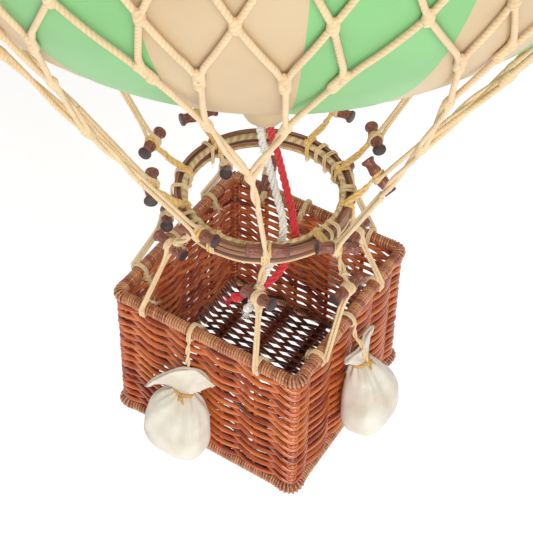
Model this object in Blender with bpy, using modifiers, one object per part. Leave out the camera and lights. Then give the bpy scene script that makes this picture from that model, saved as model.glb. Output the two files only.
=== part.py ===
import math

import bmesh
import bpy
from mathutils import Matrix, Vector

# Sizes are in metres. The origin is where the hanging loop bears on its hook, and heights
# named above_rim are measured from the centreline of the basket's rim.
rimBelowHook = 0.476
seatGap = 0.0003

envelopeRadius = 0.160
envelopeAboveRim = 0.305
envelopeWall = 0.003
envelopeMouth = 0.0144
goreCount = 22
goreStart = math.radians(-54.5)
ringsDown = 14

neckWall = 0.001
crownRingRadius = 0.012
crownCord = 0.0013
loopCord = 0.001

legCount = 10
legStart = math.radians(-61.0)
legCord = 0.001
legTopLatitude = math.radians(-29.0)
stropStart = math.radians(-56.0)
toggleHalf = 0.009
toggleWaist = 0.0019
eyeCord = 0.0008

hoopRadius = 0.0380
hoopAboveRim = 0.052
hoopHalfWidth = 0.0025
hoopHalfHeight = 0.0036
hoopCord = 0.0015
upperStrop = 0.0017
lowerStrop = 0.0013
stropFoot = 0.0015
basketLine = 0.0011

rimHalf = 0.0495
rimTube = 0.003
rimCorner = 0.004
rimLoop = 0.0007
footHalf = 0.0509
footCorner = 0.006
footDrop = 0.081
footTube = 0.0032
cornerFoot = (0.0055, 0.0055, 0.0036)
cornerFootAt = 0.0498
postTube = 0.0031
postTop = 0.0476
postBottom = 0.0488

wallHalf = 0.0446
wallTopDrop = 0.0055
wallValley = 0.0016
wallBulge = 0.0024
weaveRows = 16
stakeTube = 0.0015
stakePlaces = (-0.036, -0.018, 0.0, 0.018, 0.036)

floorDrop = 0.0802
floorHalf = 0.0472
floorBarTube = 0.0019
floorBarPlaces = (-0.036, -0.018, 0.0, 0.018, 0.036)
slatCount = 15
slatPitch = 0.006
slatHalfWidth = 0.0016
slatHalfThickness = 0.0009

redRopeTube = 0.0018
whiteRopeTube = 0.0019

# Walls by the quarter turns that carry the front wall, at -Y, to them.
walls = {"front": 0, "right": 1, "back": 2, "left": 3}

# Toggles: azimuth in degrees, radius, height above the rim, turn about the cord and lean
# along it in degrees.
upperToggles = (
    (-56, 0.0520, 0.0688, 7, 0),
    (-24, 0.0550, 0.0640, -23, 0),
    (22, 0.0506, 0.0711, 78, 0),
    (48, 0.0514, 0.0730, -6, 0),
    (83, 0.0530, 0.0670, 0, 0),
    (124, 0.0525, 0.0690, 0, 0),
    (161, 0.0490, 0.0650, 0, 0),
    (196, 0.0524, 0.0679, 8, 0),
    (231, 0.0512, 0.0701, -10, 0),
    (271, 0.0515, 0.0697, 12, 0),
)
lowerToggles = (
    (-60, 0.0481, 0.0348, 43, 0),
    (-14.7, 0.0547, 0.0324, 106, -33),
    (29, 0.0436, 0.0294, 0, 0),
    (69, 0.0500, 0.0345, 0, 0),
    (119, 0.0535, 0.0150, 100, 15),
    (148, 0.0419, 0.0332, -36, 40),
    (200, 0.0466, 0.0255, 28, 0),
    (233, 0.0447, 0.0335, -7, 0),
)

# Basket lines: wall, place along its rim, azimuth on the hoop in degrees.
basketLines = (
    ("front", 0.030, -57),
    ("right", -0.031, -5),
    ("right", 0.023, 33),
    ("back", -0.032, 78),
    ("back", 0.028, 123),
    ("left", -0.027, 157),
    ("left", 0.032, 213),
    ("front", -0.033, 250),
)

# Sandbags: wall, place along its rim, drop from the rim to the tied neck.
sandbags = (
    ("front", -0.006, 0.033, 1.10),
    ("right", -0.004, 0.023, 1.28),
    ("back", 0.005, 0.031, 1.10),
    ("left", 0.005, 0.030, 1.16),
)

# Frill above each neck, a flat fan: its turn about the neck in degrees, the reach and drop
# of its left end, those of its right end, and the drop of its middle.
bagFrills = {
    "front": (26, 0.0196, 0.0030, 0.0140, -0.0050, -0.0144),
    "right": (0, 0.0125, -0.0085, 0.0135, -0.0100, -0.0080),
    "back": (-12, 0.0150, -0.0030, 0.0165, -0.0010, -0.0138),
    "left": (10, 0.0160, -0.0040, 0.0145, -0.0060, -0.0130),
}
frillShares = (1.0, 0.62, 0.28)
frillHemDepth = 0.0020
frillLean = 0.0012
frillHollow = 0.0026

# Sack outline from the neck: drop, half width, half depth, outward of the rim.
bagRings = (
    (0.0000, 0.0048, 0.0036, 0.0090),
    (0.0040, 0.0098, 0.0070, 0.0112),
    (0.0120, 0.0153, 0.0108, 0.0150),
    (0.0210, 0.0167, 0.0126, 0.0170),
    (0.0280, 0.0148, 0.0110, 0.0158),
    (0.0320, 0.0088, 0.0065, 0.0140),
)
bagBottom = 0.0338
bagSides = 12

# Neck outline: outer radius, height above the rim.
neckOutline = (
    (0.0137, 0.1492),
    (0.0137, 0.1440),
    (0.0119, 0.1360),
    (0.0111, 0.1240),
    (0.0109, 0.1060),
    (0.0099, 0.0985),
    (0.0066, 0.0955),
)

# Ropes: sideways, toward the front and above the rim, in a frame turned to ropeTurn.
# Both come out of the neck, pass through the hoop and are made fast at the first lower toggle.
ropeTurn = math.radians(31.4)
redRope = (
    (0.0022, 0.0000, 0.1000),
    (0.0022, 0.0000, 0.0920),
    (0.0030, 0.0002, 0.0850),
    (0.0054, 0.0012, 0.0776),
    (0.0076, 0.0040, 0.0700),
    (0.0105, 0.0090, 0.0606),
    (0.0133, 0.0160, 0.0520),
    (0.0143, 0.0226, 0.0450),
    (0.0110, 0.0294, 0.0388),
    (0.0060, 0.0336, 0.0330),
    (0.0005, 0.0358, 0.0278),
    (-0.0045, 0.0368, 0.0258),
    (-0.0090, 0.0384, 0.0252),
    (-0.0118, 0.0394, 0.0244),
)
whiteRope = (
    (-0.0022, 0.0000, 0.1000),
    (-0.0022, 0.0000, 0.0920),
    (-0.0014, 0.0004, 0.0845),
    (0.0006, 0.0020, 0.0770),
    (0.0034, 0.0058, 0.0672),
    (0.0062, 0.0108, 0.0590),
    (0.0086, 0.0172, 0.0528),
    (0.0086, 0.0246, 0.0478),
    (0.0046, 0.0322, 0.0426),
    (0.0010, 0.0368, 0.0370),
    (-0.0020, 0.0398, 0.0302),
    (-0.0046, 0.0418, 0.0238),
    (-0.0056, 0.0428, 0.0212),
)
ropePointsBetween = 2

# Materials: colour, roughness, metallic.
finishes = {
    "envelope_green": ((0.32, 0.65, 0.27), 0.45, 0.0),
    "envelope_cream": ((0.78, 0.60, 0.37), 0.45, 0.0),
    "cord": ((0.81, 0.67, 0.40), 0.9, 0.0),
    "toggle_wood": ((0.14, 0.05, 0.035), 0.45, 0.0),
    "rattan_dark": ((0.15, 0.055, 0.03), 0.5, 0.0),
    "wicker": ((0.32, 0.08, 0.02), 0.35, 0.0),
    "calico": ((0.83, 0.76, 0.64), 0.95, 0.0),
    "red_cotton": ((0.68, 0.02, 0.03), 0.9, 0.0),
    "white_cotton": ((0.86, 0.81, 0.73), 0.95, 0.0),
}


def clear_scene():
    for obj in list(bpy.data.objects):
        bpy.data.objects.remove(obj, do_unlink=True)


def new_collection(name, helpers=False):
    group = bpy.data.collections.new(name)
    group.hide_render = helpers
    bpy.context.scene.collection.children.link(group)
    return group


def material(name):
    made = bpy.data.materials.get(name)
    if made is None:
        colour, roughness, metallic = finishes[name]
        made = bpy.data.materials.new(name)
        made.use_nodes = True
        shader = made.node_tree.nodes["Principled BSDF"]
        shader.inputs["Base Color"].default_value = (*colour, 1.0)
        shader.inputs["Roughness"].default_value = roughness
        shader.inputs["Metallic"].default_value = metallic
    return made


def place(name, data, finish, matrix=None):
    obj = bpy.data.objects.new(name, data)
    data.materials.append(material(finish))
    balloon.objects.link(obj)
    if matrix is not None:
        obj.matrix_world = matrix
    return obj


# The object's evaluated mesh, welded, in place of the object and its modifiers.
def as_mesh(obj):
    bpy.context.view_layer.update()
    graph = bpy.context.evaluated_depsgraph_get()
    data = bpy.data.meshes.new_from_object(obj.evaluated_get(graph))
    shape = bmesh.new()
    shape.from_mesh(data)
    bmesh.ops.remove_doubles(shape, verts=shape.verts, dist=0.00001)
    shape.to_mesh(data)
    shape.free()
    matrix = obj.matrix_world.copy()
    name = obj.name
    bpy.data.objects.remove(obj, do_unlink=True)
    made = bpy.data.objects.new(name, data)
    made.matrix_world = matrix
    balloon.objects.link(made)
    return made


def tube(name, points, radius, finish, resolution=1, cyclic=False, matrix=None):
    data = bpy.data.curves.new(name, "CURVE")
    data.dimensions = "3D"
    data.bevel_depth = radius
    data.bevel_resolution = resolution
    data.use_fill_caps = not cyclic
    spline = data.splines.new("POLY")
    spline.points.add(len(points) - 1)
    for target, point in zip(spline.points, points):
        target.co = (*point, 1.0)
    spline.use_cyclic_u = cyclic
    spline.use_smooth = True
    return as_mesh(place(name, data, finish, matrix))


def turned(name, outline, steps, finish, closed=False, matrix=None):
    shape = bmesh.new()
    corners = [shape.verts.new((radius, 0.0, height)) for radius, height in outline]
    for first, second in zip(corners, corners[1:]):
        shape.edges.new((first, second))
    if closed:
        shape.edges.new((corners[-1], corners[0]))
    data = bpy.data.meshes.new(name)
    shape.to_mesh(data)
    shape.free()
    obj = place(name, data, finish, matrix)
    turn = obj.modifiers.new("Turn", "SCREW")
    turn.steps = steps
    turn.render_steps = steps
    turn.use_merge_vertices = True
    turn.merge_threshold = 0.0001
    turn.use_smooth_shade = True
    return obj


# A cord loop round the rim, seen along the rim.
def rim_loop(name, matrix):
    shape = bmesh.new()
    bmesh.ops.create_circle(shape, segments=6, radius=rimLoop)
    data = bpy.data.meshes.new(name)
    shape.to_mesh(data)
    shape.free()
    sideways = Matrix.Translation((rimTube + seatGap + rimLoop, 0, 0)) @ Matrix.Rotation(math.pi / 2, 4, "X")
    data.transform(sideways)
    obj = place(name, data, "cord", matrix @ Matrix.Rotation(math.pi / 2, 4, "Y"))
    turn = obj.modifiers.new("Turn", "SCREW")
    turn.steps = 10
    turn.render_steps = 10
    turn.use_merge_vertices = True
    turn.merge_threshold = 0.0001
    return as_mesh(obj)


def join(name, pieces):
    shape = bmesh.new()
    for piece in pieces:
        data = piece.data.copy()
        data.transform(piece.matrix_world)
        shape.from_mesh(data)
    data = pieces[0].data.copy()
    shape.to_mesh(data)
    shape.free()
    for piece in pieces:
        bpy.data.objects.remove(piece, do_unlink=True)
    made = bpy.data.objects.new(name, data)
    helpers.objects.link(made)
    return made


def fuse(target, added):
    for piece in added:
        piece.hide_render = True
        piece.display_type = "WIRE"
        for group in list(piece.users_collection):
            group.objects.unlink(piece)
        helpers.objects.link(piece)
        union = target.modifiers.new("Fuse " + piece.name, "BOOLEAN")
        union.operation = "UNION"
        union.solver = "EXACT"
        union.object = piece
    return target


def polar(radius, azimuth, above_rim):
    return Vector((radius * math.cos(azimuth), radius * math.sin(azimuth), above_rim - rimBelowHook))


# Local frame of a wall: X along it, -Y outward and the origin on the rim's centreline.
def wall_frame(wall):
    turn = Matrix.Rotation(walls[wall] * math.pi / 2, 4, "Z")
    return turn @ Matrix.Translation((0.0, -rimHalf, -rimBelowHook))


def wall_lean(drop):
    return (footHalf - rimHalf) * drop / footDrop


# Matrix with Z along a direction and X level.
def along(direction, place_at):
    forward = direction.normalized()
    level = Vector((0.0, 0.0, 1.0)).cross(forward).normalized()
    third = forward.cross(level)
    turn = Matrix((level, third, forward)).transposed().to_4x4()
    return Matrix.Translation(place_at) @ turn


def rounded_square(half, radius, height, steps=5):
    points = []
    for quarter in range(4):
        start = quarter * math.pi / 2
        middle = start + math.pi / 4
        centre = Vector((math.cos(middle), math.sin(middle))) * (half - radius) * math.sqrt(2)
        for step in range(steps + 1):
            angle = start + step / steps * math.pi / 2
            corner = centre + Vector((math.cos(angle), math.sin(angle))) * radius
            points.append((corner.x, corner.y, height))
    return points


# Points of a smooth curve through the route's own points.
def smooth_route(route):
    ends = [route[0] * 2 - route[1], *route, route[-1] * 2 - route[-2]]
    points = []
    for before, first, second, after in zip(ends, ends[1:], ends[2:], ends[3:]):
        for step in range(ropePointsBetween):
            share = step / ropePointsBetween
            slope = (second - before) * share
            bend = (before * 2 - first * 5 + second * 4 - after) * share**2
            rest = (first * 3 - before - second * 3 + after) * share**3
            points.append(first + (slope + bend + rest) / 2)
    points.append(route[-1])
    return points


# Angle from the top of the envelope down to its mouth.
def mouth_angle():
    return math.pi - math.asin(envelopeMouth / envelopeRadius)


def envelope_shell():
    outline = []
    for row in range(ringsDown + 1):
        angle = mouth_angle() * row / ringsDown
        outline.append((envelopeRadius * math.sin(angle), envelopeRadius * math.cos(angle)))
    centre = Matrix.Translation((0.0, 0.0, envelopeAboveRim - rimBelowHook))
    centre = centre @ Matrix.Rotation(goreStart, 4, "Z")
    shell = turned("envelope_shell", outline, goreCount * 2, "envelope_cream", matrix=centre)
    wall = shell.modifiers.new("Wall", "SOLIDIFY")
    wall.thickness = envelopeWall
    wall.offset = -1.0
    shell = as_mesh(shell)
    shell.data.materials.append(material("envelope_green"))
    for face in shell.data.polygons:
        azimuth = math.atan2(face.center.y, face.center.x) % math.tau
        face.material_index = (int(azimuth / math.tau * goreCount) + 1) % 2
    return shell


def envelope_neck():
    inner = [(radius - neckWall, height) for radius, height in reversed(neckOutline)]
    outline = list(neckOutline) + inner
    down = Matrix.Translation((0.0, 0.0, -rimBelowHook))
    turned("envelope_neck", outline, 20, "envelope_cream", closed=True, matrix=down)


# The crown ring lies on the first row of faces below the top of the shell.
def crown():
    row = mouth_angle() / ringsDown
    fall = math.tan(row / 2)
    facet = envelopeAboveRim - rimBelowHook + envelopeRadius - crownRingRadius * fall
    height = facet + (seatGap + crownCord) * math.hypot(1.0, fall)
    circle = []
    for step in range(24):
        angle = step / 24 * math.tau
        circle.append((crownRingRadius * math.cos(angle), crownRingRadius * math.sin(angle), height))
    tube("crown_ring", circle, crownCord, "cord", cyclic=True)
    foot = height + crownCord + seatGap
    arch = []
    for step in range(13):
        angle = step / 12 * math.pi
        arch.append((crownRingRadius * math.cos(angle), 0.0, foot + (loopCord - foot) * math.sin(angle)))
    tube("hanging_loop", arch, loopCord, "cord", resolution=2)


# Toggle outline: radius, share of the half length from the top end.
def toggle_mesh():
    outline = ((0.0, 1.0), (0.0030, 1.0), (0.0032, 0.78), (0.0023, 0.55), (toggleWaist, 0.0))
    half = [(radius, share * toggleHalf) for radius, share in outline]
    other = [(radius, -height) for radius, height in reversed(half[:-1])]
    spool = turned("toggle_pattern", half + other, 8, "toggle_wood")
    spool = as_mesh(spool)
    data = spool.data
    bpy.data.objects.remove(spool, do_unlink=True)
    return data


def toggle_centre(toggle):
    azimuth, radius, above_rim, _, _ = toggle
    return polar(radius, math.radians(azimuth), above_rim)


# Direction of a toggle's length: level and square to the cord, then turned about it and
# leant along it.
def toggle_way(cord_way, toggle):
    turn, lean = math.radians(toggle[3]), math.radians(toggle[4])
    level = cord_way.cross(Vector((0.0, 0.0, 1.0))).normalized()
    steep = cord_way.normalized().cross(level)
    square = level * math.cos(turn) + steep * math.sin(turn)
    return square * math.cos(lean) + cord_way.normalized() * math.sin(lean)


def place_toggle(name, spool, centre, way):
    obj = bpy.data.objects.new(name, spool)
    obj.matrix_world = along(way, centre)
    balloon.objects.link(obj)


# The eye of cord round a toggle's waist.
def eye(name, centre, way):
    radius = toggleWaist + seatGap + eyeCord
    frame = along(way, centre)
    circle = [step / 10 * math.tau for step in range(10)]
    points = [frame @ Vector((radius * math.cos(angle), radius * math.sin(angle), 0.0)) for angle in circle]
    return tube(name, points, eyeCord, "cord", cyclic=True)


# The point of an eye's cord that lies nearest to another point.
def eye_side(centre, way, toward):
    aside = (toward - centre) - way * (toward - centre).dot(way)
    return centre + aside.normalized() * (toggleWaist + seatGap + eyeCord)


# A strop stands on the hoop, above or below it, and ends in the eye round its toggle.
def strop(name, azimuth, side, centre, way, radius):
    foot = hoopHalfHeight + seatGap
    root = polar(hoopRadius + 0.0004, azimuth, hoopAboveRim + side * foot)
    knee = polar(hoopRadius + 0.0004, azimuth, hoopAboveRim + side * (foot + stropFoot))
    return tube(name, (root, knee, eye_side(centre, way, knee)), radius, "cord")


# Legs of the net: four cords gather to two and then to one, which ends in the eye round a
# toggle, and a strop carries on from the eye to the hoop.
# Gathers: offset in azimuth in degrees, radius, height above the rim.
def net_leg(leg, spool):
    centre = legStart + leg * math.tau / legCount
    stand_off = envelopeRadius + 0.0004 + legCord
    top_radius = stand_off * math.cos(legTopLatitude)
    top_height = envelopeAboveRim + stand_off * math.sin(legTopLatitude)
    tops = [polar(top_radius, centre + math.radians(turn), top_height) for turn in (-11.3, -4.7, 4.7, 11.3)]
    gathers = [polar(0.1205, centre + math.radians(turn), 0.1920) for turn in (-5.65, 5.65)]
    fork = polar(0.0982, centre, 0.1517)
    toggle = toggle_centre(upperToggles[leg])
    way = toggle_way(fork - toggle, upperToggles[leg])
    name = f"net_leg_{leg + 1:02d}"
    trunk = tube(name, (tops[0], gathers[0], fork, eye_side(toggle, way, fork)), legCord, "cord")
    others = (
        tube(name + " second", (tops[1], gathers[0]), legCord, "cord"),
        tube(name + " third", (tops[2], gathers[1], fork), legCord, "cord"),
        tube(name + " fourth", (tops[3], gathers[1]), legCord, "cord"),
        eye(name + " eye", toggle, way),
        strop(name + " strop", stropStart + leg * math.tau / legCount, 1, toggle, way, upperStrop),
    )
    fuse(trunk, others)
    place_toggle(f"upper_toggle_{leg + 1:02d}", spool, toggle, way)


def hoop_outline():
    inner, outer = hoopRadius - hoopHalfWidth, hoopRadius + hoopHalfWidth
    low, high = -hoopHalfHeight, hoopHalfHeight
    bevel = 0.001
    return (
        (outer - bevel, high),
        (outer, high - bevel),
        (outer, low + bevel),
        (outer - bevel, low),
        (inner, low),
        (inner - hoopCord * 0.7, low + hoopCord * 0.5),
        (inner, low + 2 * hoopCord),
        (inner, high - 2 * hoopCord),
        (inner - hoopCord * 0.7, high - hoopCord * 0.5),
        (inner, high),
    )


def load_hoop():
    down = Matrix.Translation((0.0, 0.0, hoopAboveRim - rimBelowHook))
    turned("load_hoop", hoop_outline(), 40, "rattan_dark", closed=True, matrix=down)


# Where a cord that comes down to the rim first touches it, on the outer side.
def rim_tangent(wall, place_along, above):
    frame = wall_frame(wall)
    rim_point = frame @ Vector((place_along, 0.0, 0.0))
    rim_way = frame.to_3x3() @ Vector((1.0, 0.0, 0.0))
    outward = frame.to_3x3() @ Vector((0.0, -1.0, 0.0))
    rise = (above - rim_point) - rim_way * (above - rim_point).dot(rim_way)
    reach = rimTube + seatGap + basketLine
    lean = math.acos(reach / rise.length)
    up = rise.normalized()
    aside = (outward - up * outward.dot(up)).normalized()
    return rim_point + (up * math.cos(lean) + aside * math.sin(lean)) * reach


def basket_lines(spool):
    for number, (line, toggle_row) in enumerate(zip(basketLines, lowerToggles), 1):
        wall, place_along, azimuth = line
        toggle = toggle_centre(toggle_row)
        start = rim_tangent(wall, place_along, toggle)
        way = toggle_way(start - toggle, toggle_row)
        name = f"basket_line_{number}"
        cord = tube(name, (start, eye_side(toggle, way, start)), basketLine, "cord")
        others = (
            rim_loop(name + " loop", wall_frame(wall) @ Matrix.Translation((place_along, 0.0, 0.0))),
            eye(name + " eye", toggle, way),
            strop(name + " strop", math.radians(azimuth), -1, toggle, way, lowerStrop),
        )
        fuse(cord, others)
        place_toggle(f"lower_toggle_{number}", spool, toggle, way)


def basket_rim():
    tube("basket_rim", rounded_square(rimHalf, rimCorner, -rimBelowHook), rimTube, "wicker", 2, cyclic=True)


def foot_border():
    height = -rimBelowHook - footDrop
    border = tube("foot_border", rounded_square(footHalf, footCorner, height), footTube, "wicker", 2, cyclic=True)
    feet = []
    for quarter in range(4):
        shape = bmesh.new()
        bmesh.ops.create_uvsphere(shape, u_segments=12, v_segments=6, radius=1.0)
        data = bpy.data.meshes.new("corner foot")
        shape.to_mesh(data)
        shape.free()
        turn = Matrix.Rotation(quarter * math.pi / 2, 4, "Z")
        at = turn @ Matrix.Translation((cornerFootAt, cornerFootAt, height)) @ Matrix.Diagonal((*cornerFoot, 1.0))
        feet.append(place("corner foot", data, "wicker", at))
    bpy.context.view_layer.update()
    fuse(border, [join("corner feet", feet)])


# One wall: rows of weave as ribs that run along it, on stakes that reach the rim.
def basket_wall(wall):
    top, bottom = wallTopDrop, footDrop - footTube - seatGap
    pitch = (bottom - top) / weaveRows
    outer, inner = [], []
    for step in range(2 * weaveRows + 1):
        drop = top + step * pitch / 2
        thick = wallBulge if step % 2 else wallValley
        outer.append((wall_lean(drop) + thick, -drop))
        inner.append((wall_lean(drop) - thick, -drop))
    data = bpy.data.curves.new("wall", "CURVE")
    data.dimensions = "2D"
    data.fill_mode = "BOTH"
    data.extrude = wallHalf
    spline = data.splines.new("POLY")
    outline = outer + inner[::-1]
    spline.points.add(len(outline) - 1)
    for target, (out, height) in zip(spline.points, outline):
        target.co = (out, height, 0.0, 1.0)
    spline.use_cyclic_u = True
    upright = Matrix(((0, 0, -1, 0), (-1, 0, 0, 0), (0, 1, 0, 0), (0, 0, 0, 1)))
    frame = wall_frame(wall)
    panel = as_mesh(place(f"basket_wall_{wall}", data, "wicker", frame @ upright))
    stakes = []
    for place_along in stakePlaces:
        high, low = rimTube + seatGap, bottom - 0.002
        ends = [(place_along, -wall_lean(drop), -drop) for drop in (high, low)]
        stakes.append(tube("stake", [frame @ Vector(end) for end in ends], stakeTube, "wicker"))
    fuse(panel, [join(f"stakes {wall}", stakes)])


def corner_posts():
    high = -rimBelowHook - rimTube - 0.0004
    low = -rimBelowHook - footDrop + cornerFoot[2] + seatGap
    for quarter in range(4):
        turn = Matrix.Rotation(quarter * math.pi / 2, 4, "Z")
        ends = (turn @ Vector((postTop, postTop, high)), turn @ Vector((postBottom, postBottom, low)))
        tube(f"corner_post_{quarter + 1}", ends, postTube, "wicker", 2)


def basket_floor():
    height = -rimBelowHook - floorDrop
    bars = []
    for place_along in floorBarPlaces:
        ends = ((place_along, -floorHalf, height), (place_along, floorHalf, height))
        bars.append(tube("floor bar", ends, floorBarTube, "rattan_dark"))
    slats = []
    for number in range(slatCount):
        shape = bmesh.new()
        bmesh.ops.create_cube(shape, size=2.0)
        data = bpy.data.meshes.new("slat")
        shape.to_mesh(data)
        shape.free()
        across = (number - (slatCount - 1) / 2) * slatPitch
        size = Matrix.Diagonal((floorHalf - 0.0002, slatHalfWidth, slatHalfThickness, 1.0))
        slats.append(place("slat", data, "rattan_dark", Matrix.Translation((0.0, across, height)) @ size))
    bpy.context.view_layer.update()
    slat_mat = join("slats", slats)
    floor = join("basket_floor", bars)
    helpers.objects.unlink(floor)
    balloon.objects.link(floor)
    fuse(floor, [slat_mat])


# A point of a frill, round it by angle and from the neck (0) to the hem (1) by share.
def frill_point(frill, angle, share):
    turn, left_reach, left_drop, right_reach, right_drop, middle_drop = frill
    _, neck_width, neck_depth, neck_out = bagRings[0]
    side = math.cos(angle)
    reach, end_drop = (right_reach, right_drop) if side > 0 else (left_reach, left_drop)
    drop = (middle_drop + (end_drop - middle_drop) * side * side) * share
    x = side * (neck_width + (reach - neck_width) * share)
    y = math.sin(angle) * (neck_depth + (frillHemDepth - neck_depth) * share)
    turned = Matrix.Rotation(math.radians(turn) * math.sqrt(share), 2) @ Vector((x, y))
    return Vector((turned.x, turned.y - neck_out + frillLean * share, -drop))


def sandbag(wall, place_along, neck_drop, stretch):
    frame = wall_frame(wall) @ Matrix.Translation((place_along, 0.0, 0.0))
    frill, below = bagFrills[wall], Vector((0.0, 0.0, -neck_drop))
    angles = [side / bagSides * math.tau for side in range(bagSides)]
    shape = bmesh.new()
    rings = [[shape.verts.new(frill_point(frill, angle, share) + below) for angle in angles] for share in frillShares]
    for drop, half_width, half_depth, outward in bagRings:
        ring = []
        for angle in angles:
            x, y = half_width * math.cos(angle), half_depth * math.sin(angle) - outward
            ring.append(shape.verts.new(Vector((x, y, -drop * stretch)) + below))
        rings.append(ring)
    hem_middle = sum((vertex.co for vertex in rings[0]), Vector()) / bagSides
    top = shape.verts.new(hem_middle - Vector((0.0, 0.0, frillHollow)))
    bottom = shape.verts.new(Vector((0.0, -bagRings[-1][3], -bagBottom * stretch)) + below)
    for side in range(bagSides):
        following = (side + 1) % bagSides
        shape.faces.new((rings[0][side], rings[0][following], top))
        shape.faces.new((rings[-1][following], rings[-1][side], bottom))
        for upper, lower in zip(rings, rings[1:]):
            shape.faces.new((upper[following], upper[side], lower[side], lower[following]))
    data = bpy.data.meshes.new("sandbag")
    shape.to_mesh(data)
    shape.free()
    for face in data.polygons:
        face.use_smooth = True
    bag = place(f"sandbag_{wall}", data, "calico", frame)
    neck = bagRings[0][3]
    route = (0.0, rimTube + seatGap + rimLoop), (0.006, 0.0046), (neck_drop, neck)
    points = [frame @ Vector((0.0, -outward, -drop)) for drop, outward in route]
    cord = tube(f"sandbag cord {wall}", points, rimLoop, "cord")
    bpy.context.view_layer.update()
    fuse(bag, [cord, rim_loop(f"sandbag loop {wall}", frame)])


def rope(name, route, radius, finish):
    turn = Matrix.Rotation(ropeTurn, 4, "Z")
    points = [turn @ Vector((side, -front, above_rim - rimBelowHook)) for side, front, above_rim in route]
    tube(name, smooth_route(points), radius, finish, 2)


clear_scene()
balloon = new_collection("model hot air balloon")
helpers = new_collection("cutters", helpers=True)
envelope_shell()
envelope_neck()
crown()
spool = toggle_mesh()
for leg in range(legCount):
    net_leg(leg, spool)
load_hoop()
basket_lines(spool)
basket_rim()
foot_border()
corner_posts()
for wall in walls:
    basket_wall(wall)
basket_floor()
for bag in sandbags:
    sandbag(*bag)
rope("red_rope", redRope, redRopeTube, "red_cotton")
rope("white_rope", whiteRope, whiteRopeTube, "white_cotton")
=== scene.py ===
import functools
import math
import random
from math import copysign, cos, exp, pi, radians, sin, tau

import bpy
import numpy as np
from mathutils import Matrix, Vector, noise


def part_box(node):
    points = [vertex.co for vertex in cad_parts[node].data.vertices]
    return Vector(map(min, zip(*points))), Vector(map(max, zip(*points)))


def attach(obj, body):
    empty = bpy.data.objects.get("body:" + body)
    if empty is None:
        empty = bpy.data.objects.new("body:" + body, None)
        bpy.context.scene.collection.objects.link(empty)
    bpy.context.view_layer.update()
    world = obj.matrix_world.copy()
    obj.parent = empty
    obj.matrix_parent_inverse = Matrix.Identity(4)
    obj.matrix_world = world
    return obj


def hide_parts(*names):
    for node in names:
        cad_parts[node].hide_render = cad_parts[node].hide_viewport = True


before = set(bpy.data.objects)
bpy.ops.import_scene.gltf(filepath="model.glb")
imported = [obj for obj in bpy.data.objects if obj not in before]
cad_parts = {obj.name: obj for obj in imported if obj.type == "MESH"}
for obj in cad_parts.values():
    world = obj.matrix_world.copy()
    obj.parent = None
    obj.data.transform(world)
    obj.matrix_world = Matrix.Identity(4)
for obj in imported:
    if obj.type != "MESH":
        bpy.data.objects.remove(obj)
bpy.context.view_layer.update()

# Sizes are in metres. The origin is where the hanging loop bears on its hook, and the
# basket's rim is this far below it. Heights named aboveRim are measured from the rim.
rimLevel = -0.476
upward = Vector((0, 0, 1))
dice = random.Random(7)
# Without a seed, noise vectors start from the clock, and no two runs are alike.
noise.seed_set(7)


# Helpers

def hexColour(text):
    parts = [int(text[place:place + 2], 16) / 255 for place in (1, 3, 5)]
    bright = [((part + 0.055) / 1.055) ** 2.4 for part in parts]
    return (*(part / 12.92 if part <= 0.04045 else up for part, up in zip(parts, bright)), 1.0)


# Sets an input to a plain value, or links it to a node or to (node, output).
def feed(node, socket, value):
    source = value if isinstance(value, tuple) else (value, 0)
    if isinstance(source[0], bpy.types.Node):
        node.id_data.links.new(source[0].outputs[source[1]], node.inputs[socket])
    else:
        node.inputs[socket].default_value = value


# Adds one node, with its inputs in order or by name, and its settings in small letters.
def addNode(tree, kind, *inputs, **named):
    made = tree.nodes.new("ShaderNode" + kind)
    for key in [key for key in named if key.islower()]:
        setattr(made, key, named.pop(key))
    for socket, value in (*enumerate(inputs), *named.items()):
        feed(made, socket, value)
    return made


def newMaterial(name, **values):
    made = bpy.data.materials.new(name)
    made.use_nodes = True
    shader = made.node_tree.nodes["Principled BSDF"]
    for socket, value in values.items():
        feed(shader, socket.replace("_", " "), value)
    return made, functools.partial(addNode, made.node_tree), shader


# Gives the shader its colour, and its height as bump.
def dress(shader, colour, height, strength, depth):
    bump = addNode(shader.id_data, "Bump", Height=height, Strength=strength, Distance=depth)
    feed(shader, "Base Color", colour)
    feed(shader, "Normal", bump)


def setRamp(ramp, *stops):
    elements = ramp.color_ramp.elements
    while len(elements) < len(stops):
        elements.new(0.5)
    for element, (place, colour) in zip(elements, stops):
        element.position = place
        element.color = hexColour(colour)


def addObject(name, data):
    made = bpy.data.objects.new(name, data)
    bpy.context.scene.collection.objects.link(made)
    return made


def deselectAll():
    if bpy.context.object and bpy.context.object.mode != "OBJECT":
        bpy.ops.object.mode_set(mode="OBJECT")
    bpy.ops.object.select_all(action="DESELECT")


def pickOnly(piece):
    deselectAll()
    piece.select_set(True)
    bpy.context.view_layer.objects.active = piece


def joinPieces(name, *pieces):
    pickOnly(pieces[0])
    for piece in pieces[1:]:
        piece.select_set(True)
    bpy.ops.object.join()
    pieces[0].name = pieces[0].data.name = name
    return pieces[0]


def finishPiece(piece, slotName, *nodes, body="balloon"):
    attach(piece, body)
    if nodes:
        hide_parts(*nodes)


# Gives the piece in hand a wall of cloth.
def thicken(thickness, offset=-1.0):
    wall = bpy.context.object.modifiers.new("Thickness", "SOLIDIFY")
    wall.thickness = thickness
    wall.offset = offset
    bpy.ops.object.modifier_apply(modifier="Thickness")


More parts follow.
